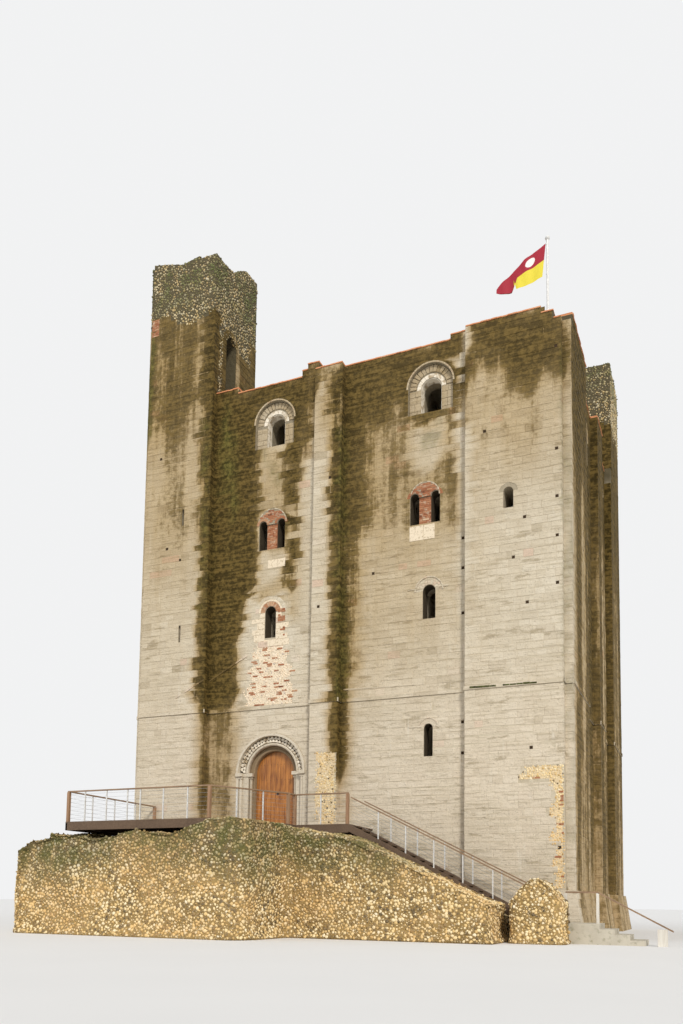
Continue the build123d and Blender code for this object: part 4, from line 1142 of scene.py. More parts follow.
def build_side(name, seed):
    """All the ashlar of one side of the keep."""
    pile = Pile(seed)
    side = Side(name)
    stops = side.stops
    for index, setback in enumerate(SETBACKS):
        start, end = side.at(stops[index], setback), side.at(stops[index + 1], setback)
        high = parapet_top(side, index)
        first_nook, last_nook = NOOK * (index == FIRST_TURRET), NOOK * (index == LAST_TURRET)
        if index in TURRETS:
            along = (end - start).normalized()
            lay_face(pile, Face(start, end, 0.0, PLINTH, (1, 1)))
            face = Face(
                start + along * first_nook, end - along * last_nook, PLINTH, high, (1, 1),
                turret_holes(side, index, first_nook))
        elif index == PILASTER:
            face = Face(start, end, 0.0, high, (1, 1))
        else:
            face = Face(start, end, 0.0, high, (-1, -1), bay_holes(side, index))
        for x, z in putlogs_of(side, index, pile.random):
            leave_putlog(pile, face, x - stops[index] - first_nook, z)
        face.bare = bare_on(face)
        lay_face(pile, face)
    for index in (1, 2, 3, 4):
        high = min(parapet_top(side, index - 1), parapet_top(side, index))
        inward = SETBACKS[index] > 0
        lay_return(pile, side.at(stops[index]), side.at(stops[index], PROJ), 0.0, high, inward)
    for index, x in ((FIRST_TURRET, stops[0] + NOOK), (LAST_TURRET, stops[-1] - NOOK)):
        high = parapet_top(side, index)
        lay_return(pile, side.at(x), side.at(x, NOOK), PLINTH, high, index == LAST_TURRET)
    pile.build(f"{name}_ashlar", SKIN, "ashlar")


# Tall turrets over the wall walk


def plan_faces(points, low, high):
    """Faces round a closed plan drawn anticlockwise, each told how the plan turns at its ends."""
    count = len(points)
    turns = []
    for i in range(count):
        a, b, c = (Vector(points[(i + k) % count]) for k in (-1, 0, 1))
        turns.append(1 if (b - a).cross(c - b) > 0 else -1)
    faces = []
    for i in range(count):
        j = (i + 1) % count
        faces.append(Face(points[i], points[j], low, high, (turns[i], turns[j])))
    return faces


def nooked_square(x0, x1, y0, y1, corner):
    """Plan of a tall turret with the keep's nook cut from one corner, 0 the front left."""
    plan = []
    for index, (x, y) in enumerate(((x0, y0), (x1, y0), (x1, y1), (x0, y1))):
        if index != corner:
            plan.append((x, y))
            continue
        sx = NOOK if x == x0 else -NOOK
        sy = NOOK if y == y0 else -NOOK
        first, last = ((x, y + sy), (x + sx, y)) if index in (0, 2) else ((x + sx, y), (x, y + sy))
        plan += [first, (x + sx, y + sy), last]
    return plan


def build_tall_turret(name, seed, box, corner, door_x, top):
    """One tall turret's ashlar, with the doorway to the wall walk on its side at door_x."""
    pile = Pile(seed)
    half, sill, spring, ring = DOORWAY.values()
    for face in plan_faces(nooked_square(*box, corner), WALK, top):
        if abs(face.start.x - door_x) < 0.01 and abs(face.end.x - door_x) < 0.01:
            y = -HALF_D + DOORWAY_IN if door_x < 0 else HALF_D - DOORWAY_IN
            middle = face.local(door_x, y)
            face.holes.append(Hole(middle, half, sill, spring, ring))
            voussoirs(pile, face, middle, spring, half + 0.01, ring - 0.01, 9, 0.02)
        face.bare = bare_on(face)
        lay_face(pile, face)
    pile.build(name, SKIN, "ashlar")


# Flints set in mortar

FLINT_SIDES = 6
OVER_GROUND = 0.002
TRIES = 4                  # places tried for each flint that may find room


def scatter(sources, spacing, seed, keep=None):
    """Evenly spread places on the skins of some meshes, with the skin's direction at each."""
    dice = np.random.default_rng(seed)
    corners = []
    for mesh in sources:
        mesh.calc_loop_triangles()
        points = np.array([v.co for v in mesh.vertices])
        corners.append(points[np.array([t.vertices for t in mesh.loop_triangles])])
    a, b, c = np.concatenate(corners).transpose(1, 0, 2)
    across = np.cross(b - a, c - a)
    area = np.linalg.norm(across, axis=1) / 2
    count = int(area.sum() / spacing ** 2 * TRIES)
    chosen = dice.choice(len(a), count, p=area / area.sum())
    u, v = dice.random((2, count, 1))
    flip = u + v > 1
    u, v = np.where(flip, 1 - u, u), np.where(flip, 1 - v, v)
    places = a[chosen] + u * (b - a)[chosen] + v * (c - a)[chosen]
    normals = across[chosen] / (2 * area[chosen, None])
    if keep:
        wanted = keep(places, normals)
        places, normals = places[wanted], normals[wanted]
    taken = {}
    even = []
    for index, place in enumerate(places):
        cell = tuple(np.floor(place / spacing).astype(int))
        near = [
            taken[key] for key in (
                (cell[0] + i, cell[1] + j, cell[2] + k)
                for i in (-1, 0, 1) for j in (-1, 0, 1) for k in (-1, 0, 1)) if key in taken]
        if all(np.sum((places[other] - place) ** 2) > spacing ** 2 for other in near):
            taken[cell] = index
            even.append(index)
    return places[even], normals[even]


def flints(name, places, normals, sizes, proud, seed, flinty=True, dark=0.13):
    """A low rounded stone at each place, a share of them dark."""
    dice = np.random.default_rng(seed)
    count = len(places)
    side = np.cross(normals, dice.normal(size=(count, 3)))
    side /= np.linalg.norm(side, axis=1)[:, None]
    up = np.cross(normals, side)
    long = dice.uniform(*sizes, count)[:, None]
    wide = long * dice.uniform(0.62, 1.0, (count, 1))
    high = dice.uniform(*proud, count)[:, None]
    rings = []
    sides, knots = FLINT_SIDES, 2 * FLINT_SIDES + 1
    for share, lift in ((1.0, -0.35), (0.8, 0.75)):
        for i in range(sides):
            turn = math.tau * (i + 0.3 * (share < 1)) / sides
            worn = share * dice.uniform(0.72, 1.18, (count, 1))
            rings.append(
                places + side * long * worn * math.cos(turn) + up * wide * worn * math.sin(turn)
                + normals * high * lift)
    rings.append(places + normals * high * dice.uniform(0.75, 1.1, (count, 1)))
    points = np.stack(rings, 1).reshape(-1, 3)
    points[:, 2] = np.maximum(points[:, 2], OVER_GROUND)
    one = []
    for i in range(sides):
        j = (i + 1) % sides
        one += [(i, j, sides + i), (j, sides + j, sides + i), (sides + i, sides + j, 2 * sides)]
    faces = (np.array(one)[None] + knots * np.arange(count)[:, None, None]).reshape(-1, 3)
    mesh = bpy.data.meshes.new(name)
    mesh.from_pydata(points.tolist(), [], faces.tolist())
    tones = np.where(dice.random(count) < dark, 0.06, 0.22 + 0.74 * dice.beta(1.15, 1.15, count))
    dress(mesh, name, ["flint"], np.repeat(tones, knots), flinty=flinty, smooth=True)


def joined_mesh(names):
    """One mesh of several nodes of the frame."""
    points, faces = [], []
    for name in names:
        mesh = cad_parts[name].data
        start = len(points)
        points += [v.co[:] for v in mesh.vertices]
        faces += [[start + i for i in p.vertices] for p in mesh.polygons]
    mesh = bpy.data.meshes.new("joined")
    mesh.from_pydata(points, [], faces)
    return mesh


RUIN_END_X = -7.6          # the ruins' left end is less worn


def worn_mass(name, names, cell, depth, seed):
    """Nodes of the frame melted together, their skin worn back unevenly."""
    holder = bpy.data.objects.new("mass", joined_mesh(names))
    bpy.context.scene.collection.objects.link(holder)
    weld = holder.modifiers.new("skin", "REMESH")
    weld.mode = "VOXEL"
    weld.voxel_size = cell
    graph = bpy.context.evaluated_depsgraph_get()
    mesh = bpy.data.meshes.new_from_object(holder.evaluated_get(graph))
    bpy.data.objects.remove(holder)
    moved = []
    shift = Vector((seed, 0, 0))
    for vertex in mesh.vertices:
        place, normal = vertex.co, vertex.normal
        broad = noise.fractal(place * 0.55 + shift, 1.0, 2.0, 3)
        fine = noise.noise(place * 3.2 + shift)
        wear = 0.03 + depth * min(max(0.5 + broad * 0.9, 0.0), 1.0) + 0.025 * (1 + fine)
        if place.z < cell:
            moved.append(Vector((place.x, place.y, max(place.z, 0.0))))
            continue
        level = min(place.z / 0.4, 1.0)
        kept_end = 0.3 if place.x < RUIN_END_X and normal.x < -0.3 else 1.0
        moved.append(place - normal * wear * kept_end * (0.35 + 0.65 * level))
    for vertex, place in zip(mesh.vertices, moved):
        vertex.co = place
    mesh.update()
    tones = np.full(len(mesh.vertices), 0.5)
    return dress(
        mesh, name, ["rubble"], tones, replaced=names, flinty=True, smooth=True)


HOLLOW_X = (-6.5, -1.25)   # inside the ruins, where nothing shows
HOLLOW_Y = (-13.2, -8.2)
BANK_X = 0.4               # the bank's flints are a piece of their own from here on


def build_rubble():
    """The ruins, the bank and the stub, worn back and set with flints."""
    ruin = ["ruin_front_wall", "ruin_left_wall", "ruin_return_wall", "stair_bank"]
    mass = worn_mass("ruin_mass", ruin, 0.11, 0.17, 3)
    stub = worn_mass("stub_mass", ["rubble_stub"], 0.07, 0.1, 8)

    def outside(places, normals):
        x, y, z = places.T
        inside = (x > HOLLOW_X[0]) & (x < HOLLOW_X[1]) & (y > HOLLOW_Y[0]) & (y < HOLLOW_Y[1])
        behind = (y > -9.4) & (normals[:, 1] > 0.3)
        return (z > 0.05) & ~inside & ~behind & (normals[:, 2] > -0.4)

    def front(places, normals):
        return outside(places, normals) & (places[:, 0] < BANK_X)

    def bank(places, normals):
        return outside(places, normals) & (places[:, 0] >= BANK_X)

    for name, keep, seed in (("ruin_flints", front, 5), ("bank_flints", bank, 6)):
        places, normals = scatter([mass.data], 0.08, seed, keep)
        flints(name, places, normals, (0.026, 0.072), (0.008, 0.036), seed, dark=0.17)
    places, normals = scatter([stub.data], 0.08, 7, outside)
    flints("stub_flints", places, normals, (0.026, 0.07), (0.008, 0.034), 7, dark=0.12)


def build_crown_flints():
    """Flints on the tall turrets' broken heads and where they have lost their dressing."""
    for side, seed in (("front_left", 11), ("back_right", 12)):
        x_out = -HALF_W if side == "front_left" else HALF_W
        y_out = -HALF_D if side == "front_left" else HALF_D

        def core_shows(places, normals):
            gone = np.array([bare_at(*place) for place in places])
            in_x, in_y = np.abs(places[:, 0] - x_out), np.abs(places[:, 1] - y_out)
            inner = (np.maximum(in_x, in_y) < TALL - 0.02) & (np.minimum(in_x, in_y) > 0.3)
            return gone & ~(inner & (places[:, 2] < 26.0) & (np.abs(normals[:, 2]) < 0.5))

        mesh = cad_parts[f"{side}_turret_top"].data
        places, normals = scatter([mesh], 0.085, seed, core_shows)
        flints(f"{side}_crown_flints", places, normals, (0.025, 0.07), (0.01, 0.04), seed, dark=0.2)


def wall_sheet(x0, x1, y, z0, z1):
    """A plain rectangle on the front, to set flints on."""
    mesh = bpy.data.meshes.new("sheet")
    mesh.from_pydata([(x0, y, z0), (x1, y, z0), (x1, y, z1), (x0, y, z1)], [], [(0, 1, 2, 3)])
    return mesh


def is_brick(x, z):
    """Where a scar holds bits of brick."""
    few = 0.27 if x < -1.0 else 0.4 if x > 5.0 else 2.0
    return noise.noise(Vector((x * 4.3, 4.0, z * 9.0))) > few


PATCHES = ["brick", "cream"]
BEDDING = 1


def lay_bedding(pile, face, x0):
    """Mortar under the flints of a scar, in small squares."""
    cell = 0.07
    for row in range(int((face.high - face.low) / cell)):
        for column in range(int(face.length / cell)):
            s, z = column * cell, face.low + row * cell
            if scar_at(x0 + s + cell / 2, z + cell / 2):
                points = [face.at(s + a * cell, z + b * cell, 0.002)
                          for a, b in ((0, 0), (1, 0), (1, 1), (0, 1))]
                pile.add(points, [(0, 1, 2, 3)], 0.5, BEDDING)


def build_scars():
    """Flints and brick patching where the front has lost its ashlar."""
    bay = -HALF_D + PROJ
    sheets = [
        wall_sheet(-0.77, 0.34, -HALF_D, 3.9, 6.75), wall_sheet(7.0, 8.55, -HALF_D, 1.7, 5.8),
        wall_sheet(-4.2, -1.3, bay, 8.6, 13.0)]

    def in_scar(places, _):
        return np.array([scar_at(x, z) and not is_brick(x, z) for x, _, z in places])

    places, normals = scatter(sheets, 0.062, 14, in_scar)
    flints("scar_flints", places, normals, (0.022, 0.055), (0.004, 0.022), 14, False, 0.07)
    pile = Pile(15)
    for x0, x1, y, z0, z1 in (
        (-0.77, 0.34, -HALF_D, 3.9, 6.72), (7.1, 8.55, -HALF_D, 1.7, 5.78), (-4.1, -1.4, bay, 8.72, 12.9),
    ):
        face = Face((x0, y), (x1, y), z0, z1)

        def patched(s, z, x0=x0):
            return scar_at(x0 + s, z) and is_brick(x0 + s, z)
        lay_bricks(pile, face, 0.0, face.length, z0, z1, 0.012, patched)
        lay_bedding(pile, face, x0)
    edge = Face((-HALF_W + NOOK, -HALF_D), (-HALF_W + TALL, -HALF_D), 25.0, 26.0)
    lay_bricks(pile, edge, 0.0, 0.36, 25.07, 25.83, 0.02)
    pile.build("scar_bricks", PATCHES, "red_brick", shelter=0.4)


def lay_ledge(pile, face, line, high, proud, tone, kind=0):
    """Narrow stones standing out along a line of (x, z) points, broken here and there."""
    for (x0, z0), (x1, z1) in zip(line, line[1:]):
        steps = max(1, round(math.hypot(x1 - x0, z1 - z0) / 0.24))
        for i in range(steps):
            if pile.random.random() < 0.12:
                continue
            a = i / steps
            b = (i + 1) / steps - 0.02 / steps
            ends = [(face.local(x0 + (x1 - x0) * k, face.start.y), z0 + (z1 - z0) * k) for k in (a, b)]
            (sa, za), (sb, zb) = ends
            grow = pile.random.uniform(0.8, 1.15) * high
            lay_stone(
                pile, face, [(sa, za), (sb, zb), (sb, zb + grow), (sa, za + grow)],
                proud * pile.random.uniform(0.7, 1.0), CHAMFER, tone, kind)


LEDGES = ["ashlar", "ledge", "cream"]
MOSSY_LEDGE, REPAIR = 1, 2
CREAM_REPAIRS = ((-2.86, -2.1, 14.19, 14.52), (3.02, 3.98, 14.35, 14.9))


def build_ledges():
    """The old roof's scar, the right turret's weather ledge, string ends and two cream repairs."""
    pile = Pile(97)
    bay = Face((-HALF_W, -HALF_D + PROJ), (HALF_W, -HALF_D + PROJ), 0, 30)
    turret = Face((-HALF_W, -HALF_D), (HALF_W, -HALF_D), 0, 30)
    lay_ledge(pile, turret, ((-6.8, 9.22), (-5.95, 9.64), (-5.48, 9.84)), 0.075, 0.04, 0.9)
    lay_ledge(pile, bay, ((-5.4, 9.86), (-4.05, 10.56), (-3.7, 10.72)), 0.075, 0.045, 0.9)
    lay_ledge(pile, turret, ((5.38, 8.6), (7.7, 8.58)), 0.06, 0.075, 0.2, MOSSY_LEDGE)
    lay_ledge(pile, bay, ((0.45, 9.02), (3.3, 8.98)), 0.05, 0.03, 0.55)
    for z, near, far in ((12.5, 0.3, 0.75), (12.5, -0.8, -0.3), (7.42, 0.2, 0.48), (7.42, -0.73, -0.2)):
        lay_ledge(pile, bay, ((RIGHT_BAY + near, z), (RIGHT_BAY + far, z)), 0.055, 0.04, 0.8)
    for x0, x1, z0, z1 in CREAM_REPAIRS:
        split = x0 + (x1 - x0) * 0.55
        for a, b in ((x0, split), (split + 0.01, x1)):
            ends = [bay.local(x, bay.start.y) for x in (a, b)]
            lay_stone(pile, bay, rectangle(ends, (z0, z1)), PROUD + 0.012, CHAMFER, 0.9, REPAIR)
    pile.build("wall_ledges", LEDGES, "ashlar", shelter=0.7)


# Brickwork, tiles and window dressings


def slab(pile, face, s0, s1, z0, z1, out0, out1, tone=None, kind=0):
    """A block in a face's own directions."""
    points = [
        face.at(s, z, out) for z in (z0, z1)
        for s, out in ((s0, out1), (s1, out1), (s1, out0), (s0, out0))]
    pile.add(points, BOX_FACES, tone, kind)


def lay_bricks(pile, face, s0, s1, z0, z1, out, within=None):
    """Courses of thin bricks in a rectangle, each course broken at its own places."""
    high = 0.06
    rows = max(1, round((z1 - z0) / (high + 0.012)))
    pitch = (z1 - z0) / rows
    for row in range(rows):
        z = z0 + row * pitch
        s = s0 - (0.0 if row % 2 else pile.random.uniform(0.08, 0.14))
        while s < s1 - 0.02:
            length = pile.random.uniform(0.2, 0.27)
            a, b = max(s, s0), min(s + length, s1)
            if b - a > 0.04 and (within is None or within((a + b) / 2, z + pitch / 2)):
                slab(pile, face, a, b - 0.01, z, z + pitch - 0.011, -0.02,
                     out + pile.random.uniform(-0.004, 0.004))
            s += length


# Finishes of the window stones, by kind
DRESSED, LIMED, SHADED, MENDED = range(4)
REVEAL_DEEP = 0.5
REVEAL_THICK = 0.016


def line_reveal(pile, face, middle, half, sill, spring, near, kind):
    """A thin skin on the jambs and the soffit of a light, from near inward."""
    turns = [math.pi * i / 8 for i in range(1, 8)]
    line = [(-half, sill), (-half, spring)]
    line += on_arch(0.0, spring, [(half, turn) for turn in turns])
    line += [(half, spring), (half, sill)]
    pull = REVEAL_THICK / half
    inner = [(s - s * pull, z - max(z - spring, 0.0) * pull) for s, z in line]
    for a, b, a_in, b_in in zip(line, line[1:], inner, inner[1:]):
        points = [face.at(middle + s, z, -back)
                  for back in (near, REVEAL_DEEP) for s, z in (a, b, b_in, a_in)]
        pile.add(points, BOX_FACES, None, kind)


def dress_windows(name, seed):
    """Arch stones, jambs and brickwork round the openings of one side."""
    side = Side(name)
    face = side.bay_face()
    stones, bricks = Pile(seed), Pile(seed + 50)
    for index, (bay_at, pair_at) in enumerate(zip(side.bays, side.pairs)):
        middle = side.along(bay_at)
        if name == "front" and index == 0:
            dress_patched_window(stones, bricks, face, middle)
        else:
            dress_light(stones, face, middle, HALL)
            dress_light(stones, face, middle, SLIT)
        dress_top_window(stones, face, middle)
        dress_pair(stones, bricks, face, side.along(pair_at), PAIR_RINGS[index])
    stones.build(f"{name}_window_stones", ["ashlar", "plaster", "shade", "cream"], "ashlar", shelter=0.4)
    bricks.build(f"{name}_window_bricks", ["brick"], "red_brick", shelter=0.5)


def dress_light(pile, face, middle, light):
    """Two rings of arch stones and a thin hood over a single light, and its reveal."""
    inner, outer = light["half"] + 0.005, light["ring"] - 0.008
    split = inner + (outer - inner) * 0.6
    spring = light["spring"]
    voussoirs(pile, face, middle, spring, inner, split, 9, PROUD + 0.004)
    voussoirs(pile, face, middle, spring, split + JOINT, outer, 13, PROUD - 0.004)
    voussoirs(pile, face, middle, spring, outer + 0.015, outer + 0.06, 11, PROUD + 0.02)
    line_reveal(pile, face, middle, light["half"], light["sill"], spring, 0.02, SHADED)


def dress_patched_window(stones, bricks, face, middle):
    """The hall window over the door, mended with cream stones and bits of brick."""
    half, sill, spring = HALL["half"], HALL["sill"], HALL["spring"]
    line_reveal(stones, face, middle, half, sill, spring, 0.02, SHADED)
    voussoirs(stones, face, middle, spring, half + 0.2, 0.52, 7, PROUD + 0.01, kind=MENDED)
    voussoirs(stones, face, middle, spring, 0.53, 0.68, 9, PROUD + 0.004)
    voussoirs(bricks, face, middle, spring, half + 0.01, half + 0.19, 14, PROUD + 0.012)
    for sign in (-1, 1):
        z = sill - 0.35
        while z < spring - 0.1:
            high = stones.random.uniform(0.12, 0.28)
            wide = stones.random.uniform(0.22, 0.6)
            near = half + 0.005 if z + high > sill else -0.1
            a, b = sorted((middle + sign * near, middle + sign * (half + wide)))
            top = min(z + high, spring) - 0.012
            lay_stone(stones, face, rectangle((a, b), (z, top)),
                      PROUD + stones.random.uniform(0.006, 0.016), 0.008, 1.0,
                      stones.random.choice((DRESSED, MENDED, MENDED)))
            z += high

    def patched(s, z):
        return noise.noise(Vector((s * 4.0, 2.0, z * 5.0))) > 0.0
    lay_bricks(bricks, face, middle + half + 0.1, middle + half + 0.42, sill - 0.2, spring + 0.1,
               PROUD + 0.024, patched)


def dress_top_window(pile, face, middle):
    """The rim of the outer arch, its rough stones, and the limewashed arch round the light."""
    recess, sill, spring = TOP_WINDOW["half"], TOP_WINDOW["sill"], TOP_WINDOW["spring"]
    light = TOP_LIGHT_HALF
    voussoirs(pile, face, middle, spring, recess + 0.006, recess + 0.065, 19, PROUD + 0.012)
    line_reveal(pile, face, middle, light, sill, TOP_LIGHT_SPRING, TOP_RECESS + 0.01, LIMED)
    face.offset = -TOP_RECESS
    voussoirs(pile, face, middle, TOP_LIGHT_SPRING, light + 0.01, 0.56, 9, 0.02, kind=LIMED)
    for i in range(15):
        turn = math.pi * (i + 0.5) / 15
        half = pile.random.uniform(0.082, 0.1)
        outline = wedge(middle, spring, recess - 0.015, 0.585, turn, half)
        lay_stone(pile, face, outline, pile.random.uniform(0.02, 0.06), 0.012, 0.1)
    z = sill
    while z < TOP_LIGHT_SPRING - 0.12:
        high = pile.random.uniform(0.2, 0.3)
        top = min(z + high, TOP_LIGHT_SPRING) - 0.01
        for sign in (-1, 1):
            joint = pile.random.uniform(0.54, 0.66)
            for a, b in ((light + 0.01, joint), (joint + 0.01, recess - 0.01)):
                ends = sorted((middle + sign * a, middle + sign * b))
                proud = pile.random.uniform(0.015, 0.03)
                lay_stone(pile, face, rectangle(ends, (z, top)), proud, tone=0.15)
        z += high
    face.offset = 0.0


def dress_pair(stones, bricks, face, middle, reach):
    """Brick pier, brick arches over both lights, and worn brickwork over them."""
    sill, spring = PAIR["sill"], PAIR["spring"]
    light, pier = PAIR_LIGHT, PAIR_PIER
    shift = (pier + light) / 2
    for sign in (-1, 1):
        line_reveal(stones, face, middle + sign * shift, light / 2, sill, spring, PIER_BACK, SHADED)
    face.offset = -PIER_BACK
    lay_bricks(bricks, face, middle - pier / 2, middle + pier / 2, sill, spring, 0.012)
    face.offset = 0.0
    for sign in (-1, 1):
        voussoirs(
            bricks, face, middle + sign * shift, spring, light / 2 + 0.004, light / 2 + 0.11, 12,
            0.016, bricks.random.uniform(0.3, 0.8))

    def spandrel(s, z):
        clear = all(
            math.hypot(s - middle - sign * shift, z - spring) > light / 2 + 0.13 for sign in (-1, 1))
        return clear and math.hypot(s - middle, z - spring) < reach - 0.07
    lay_bricks(bricks, face, middle - reach, middle + reach, spring, spring + reach, 0.012, spandrel)
    for i in range(11):
        turn = math.pi * (i + 0.5) / 11
        if bricks.random.random() < 0.25:
            continue
        outline = wedge(middle, spring, reach - 0.008, reach - 0.05, turn, 0.12)
        lay_stone(stones, face, outline, PROUD + 0.01, 0.005, 0.8)


# Parapet steps and the tiles of the coping

# Raised lengths of the front parapet: from x, to x, top
RAISED = ((-5.45, -4.4, 21.99), (-1.505, -1.26, 22.03), (-1.26, -0.78, 22.25))
RAISED_BLOCKS = (4.55, 5.2)
RAISED_BLOCKS_TOP = 21.97
# Lengths of the front's coping: from x, to x, top, setback
FRONT_COPING = (
    (*RAISED[0], PROJ), (-4.4, -1.505, BAY_TOP, PROJ), (*RAISED[1], PROJ), (*RAISED[2], PROJ),
    (*FRONT_PILASTER, BAY_TOP, 0.0), (FRONT_PILASTER[1], RAISED_BLOCKS[0], BAY_TOP, PROJ),
    (*RAISED_BLOCKS, RAISED_BLOCKS_TOP, PROJ), (RAISED_BLOCKS[1], CORNER_STEPS[0][0], TURRET_TOP, 0.0),
    (CORNER_STEPS[0][0], CORNER_STEPS[1][0], CORNER_STEPS[0][1], 0.0),
    (CORNER_STEPS[1][0], 8.57, CORNER_STEPS[1][1], 0.0))
TILE_PITCH = 0.026
TILE_THICK = 0.023


def coping_runs(side):
    """The lengths of one side's coping, without the tall turrets and the corners laid before."""
    if side.name == "front":
        return FRONT_COPING
    tops = (TURRET_TOP, BAY_TOP, BAY_TOP, BAY_TOP, TURRET_TOP)
    runs = list(zip(side.stops, side.stops[1:], tops, SETBACKS))
    if side.name == "back":
        return runs[1:]
    start, end, top, setback = runs[0]
    return [(start + PARAPET_T, end, top, setback)] + runs[1:-1]


def build_parapet_steps():
    """Stones of the front parapet's raised lengths."""
    pile = Pile(89)
    y = -HALF_D + PROJ
    for x0, x1, top in RAISED:
        lay_face(pile, Face((x0, y), (x1, y), BAY_TOP, top))
    for x0, x1, top, tone in ((RAISED_BLOCKS[0], 4.86, 21.965, 0.6), (4.87, 5.19, RAISED_BLOCKS_TOP, 0.8)):
        pile.box((x0, y - 0.01, BAY_TOP - 0.01), (x1, y + PARAPET_T - PROJ - 0.01, top), tone)
    pile.build("parapet_steps", SKIN, "ashlar")


def build_coping():
    """Clay tiles in three layers across the tops of all the parapets."""
    pile = Pile(90)
    for side in map(Side, SIDES):
        for a, b, top, setback in coping_runs(side):
            face = Face(side.at(a, setback), side.at(b, setback), 0.0, 30.0)
            back = PARAPET_T - setback + 0.02
            s = 0.0
            while s < face.length - 0.04:
                width = min(pile.random.uniform(0.16, 0.24), face.length - s)
                lift = pile.random.uniform(0.0, 0.008)
                lean = pile.random.uniform(-0.012, 0.012)
                for layer in range(3):
                    z = top + layer * TILE_PITCH + lift - 0.002
                    slab(pile, face, s, s + width - 0.008, z, z + TILE_THICK, -back,
                         0.04 - 0.024 * layer + lean)
                s += width
    pile.build("parapet_tiles", ["tile"], "red_brick", shelter=0.3)


# Deck, stair and railings

DECK_LEFT, DECK_FRONT, DECK_BEND = -7.65, -13.25, -1.85
DECK_INNER = (-0.3, -10.56)
STAIR_X, STAIR_NEAR, STAIR_W = 1.7, -10.08, 1.3
GOING, RISERS = 0.335, 19
LANDING = 0.62
RISE = (DECK - LANDING) / RISERS
STAIR_FOOT = STAIR_X + (RISERS - 1) * GOING

BOARD_PITCH = 0.146
BOARD_GAP = 0.007
BOARD_T = 0.045
BOARD_END_GAP = 0.003
LONG_BOARD = 4.0           # longer ones are jointed
BEAM_H = 0.3
BEAM_T = 0.07
JOISTS = 7


def deck_spans(y):
    """The deck's stretches in X at a distance back."""
    if y < DECK_INNER[1]:
        share = (y - DECK_FRONT) / (DECK_INNER[1] - DECK_FRONT)
        return [(DECK_LEFT, DECK_BEND + share * (DECK_INNER[0] - DECK_BEND))]
    if y < STAIR_NEAR:
        return [(DECK_LEFT, DECK_INNER[0])]
    if y < -HALF_D:
        return [(DECK_LEFT, STAIR_X)]
    return [(-HALF_W + LEFT_TURRET, FRONT_PILASTER[0]), (FRONT_PILASTER[1], STAIR_X)]


def build_deck():
    """Boards on joists inside a deep edge beam."""
    pile = Pile(61)
    bands = (DECK_FRONT, DECK_INNER[1], STAIR_NEAR, -HALF_D, -HALF_D + PROJ)
    for y_low, y_high in zip(bands, bands[1:]):
        rows = max(1, round((y_high - y_low) / BOARD_PITCH))
        pitch = (y_high - y_low) / rows
        for row in range(rows):
            y0 = y_low + row * pitch
            y1 = y0 + pitch - BOARD_GAP
            for (a0, b0), (a1, b1) in zip(deck_spans(y0 + 1e-4), deck_spans(y1 - 1e-4)):
                cuts = [0.0, 1.0]
                if b0 - a0 > LONG_BOARD:
                    cuts.insert(1, pile.random.choice((0.35, 0.5, 0.65)))
                for c0, c1 in zip(cuts, cuts[1:]):
                    x = [a0 + (b0 - a0) * c0, a0 + (b0 - a0) * c1 - BOARD_END_GAP,
                         a1 + (b1 - a1) * c1 - BOARD_END_GAP, a1 + (b1 - a1) * c0]
                    z = DECK - pile.random.uniform(0.0, 0.003)
                    points = [(px, py, pz) for pz in (DECK - BOARD_T, z)
                              for px, py in zip(x, (y0, y0, y1, y1))]
                    pile.add(points, BOX_FACES)
    under = DECK - BOARD_T - 0.002
    low = DECK - BEAM_H
    back = -HALF_D - PROJ
    rim = [(DECK_LEFT, -HALF_D - 0.02), (DECK_LEFT, DECK_FRONT), (DECK_BEND, DECK_FRONT),
           DECK_INNER, (DECK_INNER[0], STAIR_NEAR), (STAIR_X, STAIR_NEAR)]
    for (xa, ya), (xb, yb) in zip(rim, rim[1:]):
        start, end = Vector((xa, ya)), Vector((xb, yb))
        along = (end - start).normalized()
        inner = Vector((-along.y, along.x)) * BEAM_T
        plan = [start, end, end + inner, start + inner]
        pile.add([(p.x, p.y, z) for z in (low, under) for p in plan], BOX_FACES, 0.2)
    for i in range(1, JOISTS + 1):
        x = DECK_LEFT + i * (DECK_BEND - DECK_LEFT) / (JOISTS + 1)
        pile.box((x - 0.03, DECK_FRONT + BEAM_T, low + 0.03), (x + 0.03, back, under), 0.3)
    pile.box((DECK_LEFT, back - 0.06, low), (STAIR_X, back + 0.06, low + 0.2), 0.3)
    pile.build("deck_boards", ["deck"], "deck_timber", ["entrance_deck"])


def bar(pile, start, end, radius, kind, sides=6, tone=0.5):
    """A straight round bar between two points."""
    start, end = Vector(start), Vector(end)
    along = (end - start).normalized()
    side = along.orthogonal().normalized()
    up = along.cross(side)
    points = []
    for place in (start, end):
        for i in range(sides):
            turn = math.tau * i / sides
            points.append(place + (side * math.cos(turn) + up * math.sin(turn)) * radius)
    faces = [(i, (i + 1) % sides, sides + (i + 1) % sides, sides + i) for i in range(sides)]
    faces += [tuple(reversed(range(sides))), tuple(range(sides, 2 * sides))]
    pile.add([tuple(p) for p in points], faces, tone, kind)


def plank(pile, start, end, width, thick, kind, tone=0.5):
    """A level-sided length of timber from one point to another, its top face through both."""
    start, end = Vector(start), Vector(end)
    along = (end - start).normalized()
    side = Vector((-along.y, along.x, 0)).normalized() * width / 2
    down = Vector((0, 0, -thick))
    points = [start - side + down, end - side + down, end + side + down, start + side + down]
    points += [start - side, end - side, end + side, start + side]
    pile.add([tuple(p) for p in points], BOX_FACES, tone, kind)


